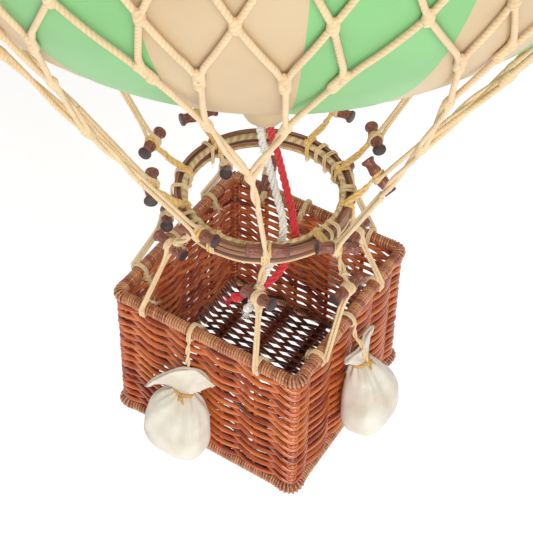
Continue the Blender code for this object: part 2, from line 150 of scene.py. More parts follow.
# Points of a smooth curve through the route's own points, about a step apart.
def smoothRoute(route, step=0.001):
    route = [Vector(point) for point in route]
    route = [route[0] * 2 - route[1], *route, route[-1] * 2 - route[-2]]
    points = []
    for before, first, second, after in zip(route, route[1:], route[2:], route[3:]):
        parts = max(1, round((second - first).length / step))
        for part in range(parts):
            share = part / parts
            slope = (second - before) * share
            bend = (before * 2 - first * 5 + second * 4 - after) * share**2
            rest = (first * 3 - before - second * 3 + after) * share**3
            points.append(first + (slope + bend + rest) / 2)
    return [*points, route[-2]]


def straight(start, end, step):
    return smoothRoute((start, start.lerp(end, 0.5), end), step)


# Distance along a route at each of its points.
def distances(route):
    found = [0.0]
    for first, second in zip(route, route[1:]):
        found.append(found[-1] + (second - first).length)
    return found


# Two directions square to a route at each point, carried along it without twisting.
def carriedSides(route, closed=False):
    last = len(route) - 1
    ways = []
    for place, point in enumerate(route):
        before = route[place - 1] if place or closed else point
        after = route[(place + 1) % len(route)] if place < last or closed else point
        ways.append((after - before).normalized())
    side = ways[0].cross(upward)
    if side.length < 0.1:
        side = ways[0].cross(Vector((0, 1, 0)))
    sides = []
    for way in ways:
        side = (side - way * side.dot(way)).normalized()
        sides.append((side, way.cross(side)))
    return sides


# A helix round a route: reach from it, pitch of a turn, and the turn's start in degrees.
def wound(route, reach, pitch, start=0.0, closed=False):
    points = []
    sides = carriedSides(route, closed)
    for point, distance, (first, second) in zip(route, distances(route), sides):
        angle = radians(start) + tau * distance / pitch
        points.append(point + (first * cos(angle) + second * sin(angle)) * reach)
    return points


# Strands that turn round one another along a route.
def twisted(route, reach, pitch, count=3, start=0.0, closed=False):
    starts = [start + 360 * number / count for number in range(count)]
    return [wound(route, reach, pitch, turn, closed) for turn in starts]


# Turns round a point: first and second are half axes, and drift is how far they move on.
def turning(at, first, second, turns, points, start=0.0, drift=Vector(), sway=0.0):
    route = []
    for step in range(points + 1):
        share = step / points
        angle = radians(start) + tau * turns * share
        away = first * cos(angle) + second * sin(angle)
        route.append(at + away * (1 + sway * sin(angle * 1.5)) + drift * (share - 0.5))
    return route


# A small coiled knot round a point, with the axis of its turns along a way.
def coil(at, way, reach, turns=1.75, points=15, drift=0.0012):
    way = way.normalized()
    side = way.cross(Vector((0.3, 0.2, 0.9))).normalized()
    other = way.cross(side)
    return turning(at, side * reach, other * reach, turns, points, 0, way * drift, 0.25)


# A slight waver, so that nothing made by hand runs quite straight.
def wavered(route, amount, spacing, seed):
    shift = Vector((seed * 7.1, seed * 3.7, seed * 1.3))
    return [point + noise.noise_vector(point / spacing + shift) * amount for point in route]


# A cord is a route and its radius, which is one number or a list with one for each point.
def alike(routes, size):
    return [(route, size) for route in routes]


# A lump of cord, longest along one way: where cords cross, or where they are bound.
def lump(at, way, length, thick):
    shape = ((-0.5, 0.35), (-0.36, 0.8), (-0.12, 1.0), (0.12, 1.0), (0.36, 0.8), (0.5, 0.35))
    route = [at + way.normalized() * length * share for share, _ in shape]
    return route, [thick * share for _, share in shape]


# A frayed end: fibres that fan out from a point, each thinner toward its tip.
def frayedEnd(at, way, length, count, spread=0.5, thick=0.00016):
    fibres = []
    for fibre in range(count):
        lean = Vector([dice.uniform(-1, 1) for axis in range(3)]) * spread
        end = at + (way + lean).normalized() * length * dice.uniform(0.6, 1.1)
        middle = at + (way + lean * 0.5).normalized() * length * 0.5
        end -= upward * 0.35 * length * dice.random()
        route = smoothRoute((at, middle, end), length / 4)
        last = len(route) - 1
        fibres.append((route, [thick * (1 - 0.75 * place / last) for place in range(last + 1)]))
    return fibres


profiles = {}


# Outline that a tube is drawn from, one unit in radius: round or flattened.
def profileCurve(sides, flat):
    if (sides, flat) not in profiles:
        data = bpy.data.curves.new("profile", "CURVE")
        data.dimensions = "2D"
        spline = data.splines.new("POLY")
        spline.points.add(sides - 1)
        for number, point in enumerate(spline.points):
            angle = number / sides * tau
            point.co = (cos(angle) * flat, sin(angle), 0.0, 1.0)
        spline.use_cyclic_u = True
        profiles[sides, flat] = addObject("profile", data)
    return profiles[sides, flat]


# Cords as one mesh of tubes. The UV map runs in metres along each tube, and across it from
# the tube's number to the next, so a material follows the tube and tells them apart.
def tubes(name, cords, material, sides=8, flat=1.0, closed=False, upright=False):
    data = bpy.data.curves.new(name, "CURVE")
    data.dimensions = "3D"
    data.twist_mode = "Z_UP" if upright else "MINIMUM"
    data.bevel_mode = "OBJECT"
    data.bevel_object = profileCurve(sides, flat)
    data.use_fill_caps = not closed
    lengths = []
    for route, size in cords:
        spline = data.splines.new("POLY")
        spline.points.add(len(route) - 1)
        sizes = size if isinstance(size, list) else [size] * len(route)
        spline.points.foreach_set("co", [value for point in route for value in (*point, 1.0)])
        spline.points.foreach_set("radius", sizes)
        spline.use_cyclic_u = closed
        spline.use_smooth = True
        lengths.append(distances([*route, route[0]] if closed else route))
    piece = addObject(name, data)
    pickOnly(piece)
    bpy.ops.object.convert(target="MESH")
    layer = piece.data.uv_layers[0]
    values = np.zeros(len(layer.data) * 2)
    layer.data.foreach_get("uv", values)
    values = values.reshape(-1, 2)
    row = len(values) - sum(len(along) - 1 for along in lengths) * sides * 4
    values[:row] = 0.0
    for number, along in enumerate(lengths):
        end = row + (len(along) - 1) * sides * 4
        part = values[row:end]
        part[:, 0] = np.interp(part[:, 0] * (len(along) - 1), range(len(along)), along)
        part[:, 1] = part[:, 1] * 0.998 + 0.001 + number
        row = end
    layer.data.foreach_set("uv", values.ravel())
    piece.data.materials.clear()
    piece.data.materials.append(material)
    return piece


# Camera, light and floor

# The photograph's own view: from above the basket, just under the balloon.
camera = {
    "place": (0.20771, -0.33625, -0.05075),
    "yaw": 121.415,
    "pitch": 46.870,
    "roll": 1.316,
    "lens": 81.32,
    "near": 0.01,
}


def addCamera():
    yaw, pitch, roll = (radians(camera[key]) for key in ("yaw", "pitch", "roll"))
    forward = Vector((cos(yaw) * cos(pitch), sin(yaw) * cos(pitch), -sin(pitch)))
    level = Vector((sin(yaw), -cos(yaw), 0.0))
    rise = level.cross(forward)
    right = level * cos(roll) + rise * sin(roll)
    up = rise * cos(roll) - level * sin(roll)
    data = bpy.data.cameras.new("camera")
    data.lens = camera["lens"]
    data.clip_start = camera["near"]
    made = addObject("camera", data)
    turn = Matrix((right, up, -forward)).transposed().to_4x4()
    made.matrix_world = Matrix.Translation(camera["place"]) @ turn
    bpy.context.scene.camera = made


# Soft boxes: place, what they point at, side of the square and power in watts.
studio = {
    "floorLevel": -1.15,
    "floorSize": 9.0,
    "floorColour": "#F6F5F3",
    "floorGlow": 0.50,
    "world": 0.30,
    "boxes": (
        ((1.5, -1.5, 1.1), (0.0, 0.0, -0.45), 1.0, 38.0),
        ((-1.7, -1.2, 0.5), (0.0, 0.0, -0.45), 1.2, 9.0),
        ((0.2, 1.9, 0.6), (0.0, 0.0, -0.45), 1.4, 10.0),
        ((0.9, -1.1, -0.95), (0.0, 0.0, -0.25), 0.9, 5.0),
    ),
}


def addStudio():
    for number, (place, target, size, power) in enumerate(studio["boxes"]):
        data = bpy.data.lights.new(f"soft box {number}", "AREA")
        data.size = size
        data.energy = power
        made = addObject(f"soft box {number}", data)
        turn = (Vector(place) - Vector(target)).to_track_quat("Z", "Y").to_matrix().to_4x4()
        made.matrix_world = Matrix.Translation(place) @ turn
    world = bpy.data.worlds.new("studio")
    world.use_nodes = True
    feed(world.node_tree.nodes["Background"], "Color", hexColour("#FFFFFF"))
    feed(world.node_tree.nodes["Background"], "Strength", studio["world"])
    bpy.context.scene.world = world
    deselectAll()
    level = (0, 0, studio["floorLevel"])
    bpy.ops.mesh.primitive_plane_add(size=studio["floorSize"], location=level)
    floor = bpy.context.object
    floor.name = "studioFloor"
    # Matt painted board, lit from behind as a photographer's table is: even and pale.
    colour = hexColour(studio["floorColour"])
    paint, _, _ = newMaterial(
        "matt painted board", Roughness=0.9, Emission_Strength=studio["floorGlow"],
        Base_Color=colour, Emission_Color=colour,
    )
    floor.data.materials.append(paint)
    bpy.context.scene.view_settings.view_transform = "Standard"


addCamera()
addStudio()
print("camera and studio done")


# Materials of the cords

# Laid cotton: soft and matt, with slanting grooves between its strands and a little fuzz.
# Pitch is the spacing of the grooves along the cord. The grooves are painted darker: painted shade.
def laidCotton(name, light, dark, pitch, lobes=3, depth=0.00022, fuzz=2600.0):
    made, add, shader = newMaterial(name, Roughness=0.92, Sheen_Weight=0.25, Sheen_Roughness=0.6)
    split = add("SeparateXYZ", add("UVMap"))
    along = add("Math", (split, 0), tau / pitch, operation="MULTIPLY")
    around = add("Math", (split, 1), tau * lobes, along, operation="MULTIPLY_ADD")
    groove = add("Math", around, operation="SINE")
    share = add("MapRange", groove, -1.0, 0.6)
    where = (add("TexCoord"), "Object")
    fluff = add("TexNoise", Vector=where, Scale=fuzz, Detail=3.0)
    patch = add("TexNoise", Vector=where, Scale=120.0, Detail=2.0)
    # Painted shade: the dark colour lies in the grooves between the strands, the light one on their
    # crowns.
    colour = add("Mix", Factor=share, A=hexColour(dark), B=hexColour(light), data_type="RGBA")
    worn = add("MapRange", patch, 0.3, 0.7, 0.90, 1.06)
    tint = add("VectorMath", (colour, "Result"), worn, operation="MULTIPLY")
    height = add("Math", fluff, 0.5, share, operation="MULTIPLY_ADD")
    dress(shader, tint, height, 0.8, depth)
    return made


# Natural cotton, spun soft: pale peach cream. The second colour of each cotton below is painted
# shade for the grooves between its strands.
netCotton = laidCotton("laid cotton, natural", "#EDD0A4", "#E3C292", 0.0019, depth=0.00003)
stropCotton = laidCotton("laid cotton, yellowed", "#EBC67C", "#DDB066", 0.0030, 2, 0.00005)
hoopCotton = laidCotton("laid cotton, tan", "#E5C99A", "#BD9963", 0.0017, 2, 0.00014)
redCotton = laidCotton("twisted cotton, dyed red", "#F02A34", "#B3131E", 0.0011, 4, 0.00015)
whiteCotton = laidCotton(
    "twisted cotton, bleached", "#FFFBF4", "#E6DED2", 0.0012, 4, 0.00025, fuzz=1800.0,
)
strawCotton = laidCotton("laid cotton, dyed straw", "#E2B469", "#B07C36", 0.0012, depth=0.00014)


# The two ropes, first of all. Their routes are those of their solids: sideways, toward the
# front and above the rim, turned by this angle.
ropes = {
    "turn": 31.4,
    "layPitch": 0.0105,
    "strand": 0.464,
    "red": {
        "radius": 0.0018,
        "route": (
            (0.0022, 0.0000, 0.1000), (0.0022, 0.0000, 0.0920), (0.0030, 0.0002, 0.0850),
            (0.0054, 0.0012, 0.0776), (0.0076, 0.0040, 0.0700), (0.0105, 0.0090, 0.0606),
            (0.0133, 0.0160, 0.0520), (0.0143, 0.0226, 0.0450), (0.0110, 0.0294, 0.0388),
            (0.0060, 0.0336, 0.0330), (0.0005, 0.0358, 0.0278), (-0.0045, 0.0368, 0.0258),
            (-0.0090, 0.0384, 0.0252), (-0.0118, 0.0394, 0.0244),
        ),
    },
    "white": {
        "radius": 0.0019,
        "route": (
            (-0.0022, 0.0000, 0.1000), (-0.0022, 0.0000, 0.0920), (-0.0014, 0.0004, 0.0845),
            (0.0006, 0.0020, 0.0770), (0.0034, 0.0058, 0.0672), (0.0062, 0.0108, 0.0590),
            (0.0086, 0.0172, 0.0528), (0.0086, 0.0246, 0.0478), (0.0046, 0.0322, 0.0426),
            (0.0010, 0.0368, 0.0370), (-0.0020, 0.0398, 0.0302), (-0.0046, 0.0418, 0.0238),
            (-0.0056, 0.0428, 0.0212),
        ),
    },
}


def addRope(name, material, slotName, node):
    radius, corners = ropes[name]["radius"], ropes[name]["route"]
    turn = Matrix.Rotation(radians(ropes["turn"]), 4, "Z")
    corners = [turn @ Vector((side, -front, high + rimLevel)) for side, front, high in corners]
    route = smoothRoute(corners, 0.0008)
    strand = radius * ropes["strand"]
    strands = twisted(route, radius - strand, ropes["layPitch"])
    rope = tubes(name + "Rope", alike(strands, strand), material, sides=9)
    finishPiece(rope, slotName, node)
    # The end is knotted, and its yarns come loose below the knot.
    end, way = route[-1], (route[-1] - route[-2]).normalized()
    first, second = carriedSides(route)[-1]
    knot = []
    for step in range(46):
        angle = step / 45 * tau * 2.2
        away = (first * cos(angle) + second * sin(angle)) * (0.00125 + 0.0004 * sin(angle * 1.5))
        knot.append(end + way * (0.0011 * sin(angle * 0.75) - 0.0006) + away)
    yarns = frayedEnd(end + way * 0.0006, way, 0.0048, 26, 0.75, 0.00030)
    tuft = tubes(name + "RopeEnd", [(knot, radius * 0.62), *yarns], material, sides=6)
    finishPiece(tuft, slotName)
    length = distances(route)[-1]
    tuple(route[0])
    print(f"{name} rope {length:.4f} m")


addRope("red", redCotton, "red_cotton", "red_rope")
addRope("white", whiteCotton, "white_cotton", "white_rope")


# Envelope

envelope = {
    "radius": 0.160,
    "aboveRim": 0.305,
    "gores": 22,
    "goreStart": -54.5,
    "columns": 8,
    "rings": 72,
    "mouth": 0.0144,
    "wall": 0.003,
    "seamDip": 0.00028,
    "seamWidth": 1.1,
}
centre = Vector((0, 0, envelope["aboveRim"] + rimLevel))


# Polyester satin glued over a former: smooth, with a soft broad gloss and a tight weave.
# The threads are 0.1 mm apart, too fine to show, so they are drawn at 0.45 mm.
def satin(name, base, deep):
    made, add, shader = newMaterial(
        name, Roughness=0.46, Sheen_Weight=0.12, Specular_IOR_Level=0.35,
    )
    where = add("TexCoord")
    slub = add("TexNoise", Vector=(where, "Object"), Scale=34.0, Detail=3.0)
    share = add("MapRange", slub, 0.35, 0.65)
    colour = add("Mix", Factor=share, A=hexColour(deep), B=hexColour(base), data_type="RGBA")
    stretch = add("Mapping", Vector=(where, "UV"), Scale=(2200.0, 1100.0, 1.0))
    weave = add("TexChecker", Vector=stretch, Scale=1.0)
    creases = add("TexNoise", Vector=(where, "Object"), Scale=62.0, Detail=1.0)
    height = add("Math", creases, 8.0, (weave, "Fac"), operation="MULTIPLY_ADD")
    dress(shader, (colour, "Result"), height, 0.35, 0.00005)
    return made


greenSatin = satin("polyester satin, green", "#84C47D", "#7CBB75")
creamSatin = satin("polyester satin, cream", "#D4BC96", "#CEB38B")


# Degrees round the balloon from its first seam.
def seamTurn(point):
    return math.degrees(math.atan2(point.y, point.x)) - envelope["goreStart"]


def addEnvelope():
    deselectAll()
    gores, radius = envelope["gores"], envelope["radius"]
    bpy.ops.mesh.primitive_uv_sphere_add(
        segments=gores * envelope["columns"], ring_count=envelope["rings"], radius=radius,
        location=centre, rotation=(0, 0, radians(envelope["goreStart"])),
    )
    shell = bpy.context.object
    shell.name = "envelopeSatin"
    bpy.ops.object.transform_apply(location=True, rotation=True, scale=True)
    mesh = shell.data
    # The cloth dips at each seam.
    pitch = 360 / gores
    for point in mesh.vertices:
        away = point.co - centre
        offset = (seamTurn(away) + pitch / 2) % pitch - pitch / 2
        level = min(1.0, away.xy.length / radius * 3)
        dip = envelope["seamDip"] * exp(-((offset / envelope["seamWidth"]) ** 2)) * level
        point.co = centre + away * (1 - dip / radius)
    # The mouth is cut open below.
    bpy.ops.object.mode_set(mode="EDIT")
    bpy.ops.mesh.select_mode(type="FACE")
    bpy.ops.mesh.select_all(action="DESELECT")
    bpy.ops.object.mode_set(mode="OBJECT")
    for face in mesh.polygons:
        away = face.center - centre
        face.select = away.z < 0 and away.xy.length < envelope["mouth"]
    bpy.ops.object.mode_set(mode="EDIT")
    bpy.ops.mesh.delete(type="FACE")
    bpy.ops.object.mode_set(mode="OBJECT")
    mesh.materials.append(creamSatin)
    mesh.materials.append(greenSatin)
    for face in mesh.polygons:
        face.material_index = (int(seamTurn(face.center) % 360 / 360 * gores) + 1) % 2
    thicken(envelope["wall"])
    bpy.ops.object.shade_smooth()
    finishPiece(shell, "envelope", "envelope_shell")


addEnvelope()
print("envelope done")


# Neck of the envelope: a sleeve of the cream cloth, gathered in below.
neck = {
    "columns": 120,
    "rows": 40,
    "pleats": 11,
    "pleatDepth": 0.00012,
    "thickness": 0.0004,
    "girthRadius": 0.0116,
    "length": 0.0560,
    # Height above the rim and reach.
    "outline": (
        (0.1492, 0.0134), (0.1440, 0.0132), (0.1360, 0.0116), (0.1240, 0.0108),
        (0.1060, 0.0105), (0.1010, 0.0101), (0.0975, 0.0088), (0.0955, 0.0062),
    ),
}


# A flat grid of cloth, each point of which is carried to its place by a function of its
# share across and down, and closed where its edges meet; its UV map stays that of the flat
# cloth, in metres.
def carriedCloth(name, columns, rows, width, length, carry, material):
    deselectAll()
    bpy.ops.mesh.primitive_grid_add(x_subdivisions=columns, y_subdivisions=rows, size=1.0)
    piece = bpy.context.object
    piece.name = name
    for point in piece.data.vertices:
        point.co = carry(point.co.x + 0.5, 0.5 - point.co.y)
    for corner in piece.data.uv_layers[0].data:
        corner.uv = (corner.uv[0] * width, corner.uv[1] * length)
    bpy.ops.object.mode_set(mode="EDIT")
    bpy.ops.mesh.select_all(action="SELECT")
    bpy.ops.mesh.remove_doubles(threshold=0.000005)
    bpy.ops.mesh.normals_make_consistent(inside=False)
    bpy.ops.object.mode_set(mode="OBJECT")
    piece.data.materials.append(material)
    bpy.ops.object.shade_smooth()
    return piece


def addNeck():
    heights, reaches = zip(*neck["outline"])

    def carry(across, down):
        height = heights[0] + (heights[-1] - heights[0]) * down
        reach = float(np.interp(-height, [-value for value in heights], reaches))
        angle = across * tau
        fold = cos(neck["pleats"] * angle + 1.5 * sin(2 * angle + 5 * down))
        reach += neck["pleatDepth"] * min(1.0, down * 4) * (fold - 0.3)
        return Vector((reach * cos(angle), reach * sin(angle), height + rimLevel))

    width, length = tau * neck["girthRadius"], neck["length"]
    sleeve = carriedCloth(
        "neckSleeve", neck["columns"], neck["rows"], width, length, carry, creamSatin,
    )
    thicken(neck["thickness"])
    finishPiece(sleeve, "envelope_neck", "envelope_neck")


addNeck()
print("neck done")


# Net: cords that cross in knots all over the balloon and gather to ten legs below. Rows are
# degrees up from the balloon's middle. The lowest four knots of each leg stand at the turns
# legTops from its middle.
net = {
    "meshes": 40,
    "start": -61.2,
    "pitch": 9.0,
    "cord": 0.00105,
    "standOff": 0.0004,
    "rows": (-19.5, -9.5, 0.5, 10.5, 20.5, 30.5, 40.5, 50.5, 60.0),
    "mergeRow": 70.0,
    "crownRow": 84.6,
    "legs": 10,
    "legStart": -61.0,
    "legTops": (-11.3, -4.7, 4.7, 11.3),
    "topRow": -29.0,
    "besideEachOther": 0.0078,
    "gather": (5.65, 0.1205, 0.1920),
    "fork": (0.0982, 0.1517),
    "pairCord": 0.0009,
    "loopCord": 0.00088,
}
netLift = net["standOff"] + net["cord"]


def outWay(azimuth):
    return Vector((cos(radians(azimuth)), sin(radians(azimuth)), 0))


def polar(reach, azimuth, aboveRim):
    angle = radians(azimuth)
    return Vector((reach * cos(angle), reach * sin(angle), aboveRim + rimLevel))


def onEnvelope(azimuth, row, lift=netLift):
    reach = envelope["radius"] + lift
    level = radians(row)
    return polar(reach * cos(level), azimuth, envelope["aboveRim"] + reach * sin(level))


# A link of the net lies on the balloon from one knot to the next.
def link(first, second, parts=4):
    points = []
    for part in range(parts):
        azimuth, row = (a + (b - a) * part / parts for a, b in zip(first, second))
        points.append(onEnvelope(azimuth, row))
    return points


def legCentre(leg):
    return net["legStart"] + leg * 360 / net["legs"]


# The leg and the turn from its middle of the lower knot below each mesh of the first row.
def topPlace(number):
    leg, order = number // 4, number % 4
    return (leg, net["legTops"][order + 2]) if order < 2 else (leg + 1, net["legTops"][order - 2])


# That knot, and where its cord is gathered with its neighbour's.
def topKnot(number):
    leg, turn = topPlace(number)
    aside, reach, aboveRim = net["gather"]
    top = onEnvelope(legCentre(leg) + turn, net["topRow"])
    return top, polar(reach, legCentre(leg) + copysign(aside, turn), aboveRim)


def addNet():
    cords, knots = [], []
    rows, pitch, cord = net["rows"], net["pitch"], net["cord"]
    for number in range(net["meshes"]):
        place = net["start"] + pitch * number
        for way in (1, -1):
            # Up from the lower knot, where two cords run beside each other, to the last row.
            top, gathered = topKnot(number - 1 if way > 0 else number)
            down = (gathered - top).normalized()
            level = down.cross(onEnvelope(place, 0, 0) - centre).normalized()
            first = onEnvelope(place, rows[0])
            level = level if level.dot(first - top) > 0 else -level
            start = top + level * cord * 0.86
            down *= net["besideEachOther"]
            points = [start + down * share for share in (1.0, 0.75, 0.5, 0.25, 0.02)]
            for share in (0.2, 0.4, 0.6, 0.8):
                out = (top.lerp(first, share) - centre).normalized()
                points.append(centre + out * (envelope["radius"] + netLift))
            corner = [(place + way * pitch / 2 * count, row) for count, row in enumerate(rows)]
            for one, two in zip(corner, corner[1:]):
                points += link(one, two)
            cords.append(([*points, onEnvelope(*corner[-1])], cord))
        for count, row in enumerate(rows):
            at = onEnvelope(place + pitch / 2 * (count % 2), row, netLift + 0.0002)
            tall = upward * (at - centre).length_squared - (at - centre) * (at - centre).z
            knots.append(lump(at, tall, 0.0062, cord * 1.72))
        # From the last row, cords merge two and two and end on the crown ring.
        merged = net["start"] + pitch * (number // 2 * 2 + 0.5)
        merge, end = (merged, net["mergeRow"]), (merged, net["crownRow"])
        at = onEnvelope(*merge)
        cords.append(([*link((place, rows[-1]), merge), at], cord))
        if number % 2 == 0:
            cords.append(([*link(merge, end), onEnvelope(*end)], cord * 1.1))
            above = onEnvelope(merged, net["mergeRow"] + 1)
            knots.append(lump(at, above - at, 0.0070, cord * 1.8))
        # The lower knot binds its two cords above and below.
        top, gathered = topKnot(number)
        down = (gathered - top).normalized()
        for share, thick in ((0.05, 1.55), (1.0, 1.7)):
            at = top + down * net["besideEachOther"] * share
            knots.append(lump(at, down, 0.0052, cord * thick))
    mesh = tubes("netCords", cords, netCotton, sides=6)
    bound = tubes("netKnots", knots, netCotton, sides=7)
    finishPiece(joinPieces("net", mesh, bound), "cord")


addNet()
print("net done")


# Toggles: azimuth, reach, height above the rim, turn about the cord and lean along it.
toggles = {
    "half": 0.009,
    "waist": 0.0019,
    "outline": (
        (1.0, 0.0026), (0.975, 0.0030), (0.88, 0.0031), (0.83, 0.0028), (0.76, 0.0024),
        (0.64, 0.00225), (0.52, 0.0024), (0.40, 0.0027), (0.29, 0.00285), (0.21, 0.0027),
        (0.13, 0.0021), (0.0, 0.0019),
    ),
    "sides": 28,
    "upper": (
        (-56, 0.0520, 0.0688, 7, 0), (-24, 0.0550, 0.0640, -23, 0), (22, 0.0506, 0.0711, 78, 0),
        (48, 0.0514, 0.0730, -6, 0), (83, 0.0530, 0.0670, 0, 0), (124, 0.0525, 0.0690, 0, 0),
        (161, 0.0490, 0.0650, 0, 0), (196, 0.0524, 0.0679, 8, 0), (231, 0.0512, 0.0701, -10, 0),
        (271, 0.0515, 0.0697, 12, 0),
    ),
    "lower": (
        (-60, 0.0481, 0.0348, 43, 0), (-14.7, 0.0547, 0.0324, 106, -33),
        (29, 0.0436, 0.0294, 0, 0), (69, 0.0500, 0.0345, 0, 0), (119, 0.0535, 0.0150, 100, 15),
        (148, 0.0419, 0.0332, -36, 40), (200, 0.0466, 0.0255, 28, 0), (233, 0.0447, 0.0335, -7, 0),
    ),
}


# Stained beech, turned: brown violet with fine rings of tool marks, darker at the ends
# where the stain soaks into the end grain.
def stainedBeech():
    made, add, shader = newMaterial(
        "stained beech, turned", Roughness=0.42, Coat_Weight=0.15, Coat_Roughness=0.35,
    )
    place = (add("Attribute", attribute_name="turning"), "Vector")
    split = add("SeparateXYZ", place)
    end = add("Math", (split, 2), operation="ABSOLUTE")
    dark = add("MapRange", end, 0.0084, 0.0089)
    grainPlace = add("Mapping", Vector=place, Scale=(1900.0, 1900.0, 260.0))
    grain = add("TexNoise", Vector=grainPlace, Scale=1.0, Detail=4.0)
    tone = add("ValToRGB", grain)
    setRamp(tone, (0.30, "#5C2C21"), (0.52, "#8B4E3D"), (0.72, "#AA7462"))
    colour = add("Mix", Factor=dark, A=tone, B=hexColour("#3F2B27"), data_type="RGBA")
    rings = add("Math", (split, 2), tau / 0.0011, operation="MULTIPLY")
    marks = add("Math", rings, operation="SINE")
    height = add("Math", marks, 0.35, grain, operation="MULTIPLY_ADD")
    dress(shader, (colour, "Result"), height, 0.5, 0.00012)
    return made


beech = stainedBeech()


# Turned along Z: a disc is drawn out row by row and each new edge is brought to its size.
def turnedToggle():
    outline = [(share * toggles["half"], reach) for share, reach in toggles["outline"]]
    outline = [(-height, reach) for height, reach in outline] + outline[-2::-1]
    deselectAll()
    bpy.ops.mesh.primitive_circle_add(
        vertices=toggles["sides"], radius=outline[0][1], fill_type="NGON",
        location=(0, 0, outline[0][0]),
    )
    piece = bpy.context.object
    bpy.ops.object.mode_set(mode="EDIT")
    bpy.ops.mesh.select_all(action="SELECT")
    for (height, reach), (after, wider) in zip(outline, outline[1:]):
        bpy.ops.mesh.extrude_region_move(
            TRANSFORM_OT_translate={"value": (0, 0, after - height)},
        )
        bpy.ops.transform.resize(value=(wider / reach, wider / reach, 1.0))
    bpy.ops.mesh.select_all(action="SELECT")
    bpy.ops.mesh.normals_make_consistent(inside=False)
    bpy.ops.object.mode_set(mode="OBJECT")
    bpy.ops.object.transform_apply(location=True, rotation=False, scale=False)
    mesh = piece.data
    store = mesh.attributes.new("turning", "FLOAT_VECTOR", "POINT")
    for number, point in enumerate(mesh.vertices):
        store.data[number].vector = point.co
    bpy.ops.object.shade_smooth_by_angle(angle=radians(50))
    mesh.materials.append(beech)
    return piece


# Level and square to the cord, then turned about it and leant along it.
def toggleWay(cordWay, turn, lean):
    turn, lean = radians(turn), radians(lean)
    level = cordWay.cross(upward).normalized()
    steep = cordWay.normalized().cross(level)
    square = level * cos(turn) + steep * sin(turn)
    return square * cos(lean) + cordWay.normalized() * sin(lean)


togglePattern = turnedToggle()


def addToggle(name, node, at, way, roll):
    piece = addObject(name, togglePattern.data.copy())
    level = upward.cross(way).normalized()
    turn = Matrix((level, way.cross(level), way)).transposed().to_4x4()
    piece.data.transform(Matrix.Translation(at) @ turn @ Matrix.Rotation(roll, 4, "Z"))
    finishPiece(piece, "toggle_wood", node)


# A cord that comes to a toggle, goes round its waist and runs back beside itself.
def hairpin(start, at, way, cord, apart, shift, turns=1):
    toward = ((at - start) - way * (at - start).dot(way)).normalized()
    side = way.cross(toward)
    reach = toggles["waist"] + cord
    middle = at + way * shift
    throat = middle + (start - middle).normalized() * min(0.0075, (start - middle).length * 0.45)
    aside = side * apart
    beside = ((start, aside), (start.lerp(throat, 0.5), aside), (throat, aside * 1.15))
    drift = way * cord * 1.9 * (turns - 1)
    bend = turning(middle, toward * reach, side * reach, 0.5 - turns, 8 * turns, 90, drift)
    there = [point + apart for point, apart in beside]
    back = [point - apart for point, apart in beside[::-1]]
    return smoothRoute([*there, *bend, *back], 0.0009)


# Load hoop: a core of rattan under five flat strips outside, with laid cords along its
# inner edges, lashed all round.
hoop = {
    "radius": 0.0380,
    "aboveRim": 0.052,
    "halfWidth": 0.0025,
    "halfHeight": 0.0036,
    "strip": 0.00076,
    "lid": 0.00078,
    "lids": (-0.0008, 0.0004, 0.0016),
    # Side, radius and turns of each.
    "innerCords": ((1, 0.0014, 66), (-1, 0.0009, 96)),
    "outerCord": 0.00062,
    "lashing": 0.00044,
    "lashings": (197, 165, 124, 86.5, 68.5, 56.5, 28, 347.5, 305, 270, 240),
    "stropStart": -56.0,
    "stropCord": 0.0015,
    "binding": 0.00048,
}


# Rattan cane, smoked and split: brown with lighter and darker fibres along its length.
def splitCane(name, dark, middle, light, rough, coat):
    made, add, shader = newMaterial(name, Roughness=rough, Coat_Weight=coat, Coat_Roughness=0.22)
    place = add("UVMap")
    split = add("SeparateXYZ", place)
    number = add("Math", (split, 1), operation="FLOOR")
    chance = add("TexWhiteNoise", W=number, noise_dimensions="1D")
    stretch = add("Mapping", Vector=place, Scale=(60.0, 7.0, 1.0))
    fibre = add("TexNoise", Vector=stretch, Scale=1.0, Detail=5.0, Roughness=0.65)
    slow = add("Mapping", Vector=place, Scale=(22.0, 1.3, 1.0))
    patch = add("TexNoise", Vector=slow, Scale=1.0, Detail=2.0)
    mixed = add("Math", chance, 0.30, patch, operation="MULTIPLY_ADD")
    tone = add("ValToRGB", add("Math", fibre, 0.55, mixed, operation="MULTIPLY_ADD"))
    setRamp(tone, (0.60, dark), (0.86, middle), (1.0, light))
    feed(shader, "Roughness", add("MapRange", fibre, 0.3, 0.7, rough - 0.08, rough + 0.12))
    dress(shader, tone, fibre, 0.6, 0.00015)
    return made


hoopCane = splitCane("rattan, smoked and split", "#3F2117", "#70412F", "#A97758", 0.42, 0.1)


def levelRing(reach, aboveRim, points=96):
    return [polar(reach, number * 360 / points, aboveRim) for number in range(points)]


# Round the hoop's section, a little way along it with each turn.
def roundHoop(azimuth, turns, cord, start, drift, points=20):
    route = []
    wide = hoop["halfWidth"] + cord * 1.3 + 0.0005
    tall = hoop["halfHeight"] + cord * 1.2 + 0.0003
    for step in range(int(turns * points) + 1):
        angle = radians(start) + step / points * tau
        across = copysign(abs(cos(angle)) ** 0.55, cos(angle)) * wide
        height = copysign(abs(sin(angle)) ** 0.55, sin(angle)) * tall
        turn = azimuth + drift * step / points
        route.append(polar(hoop["radius"] + across, turn, hoop["aboveRim"] + height))
    return route, cord


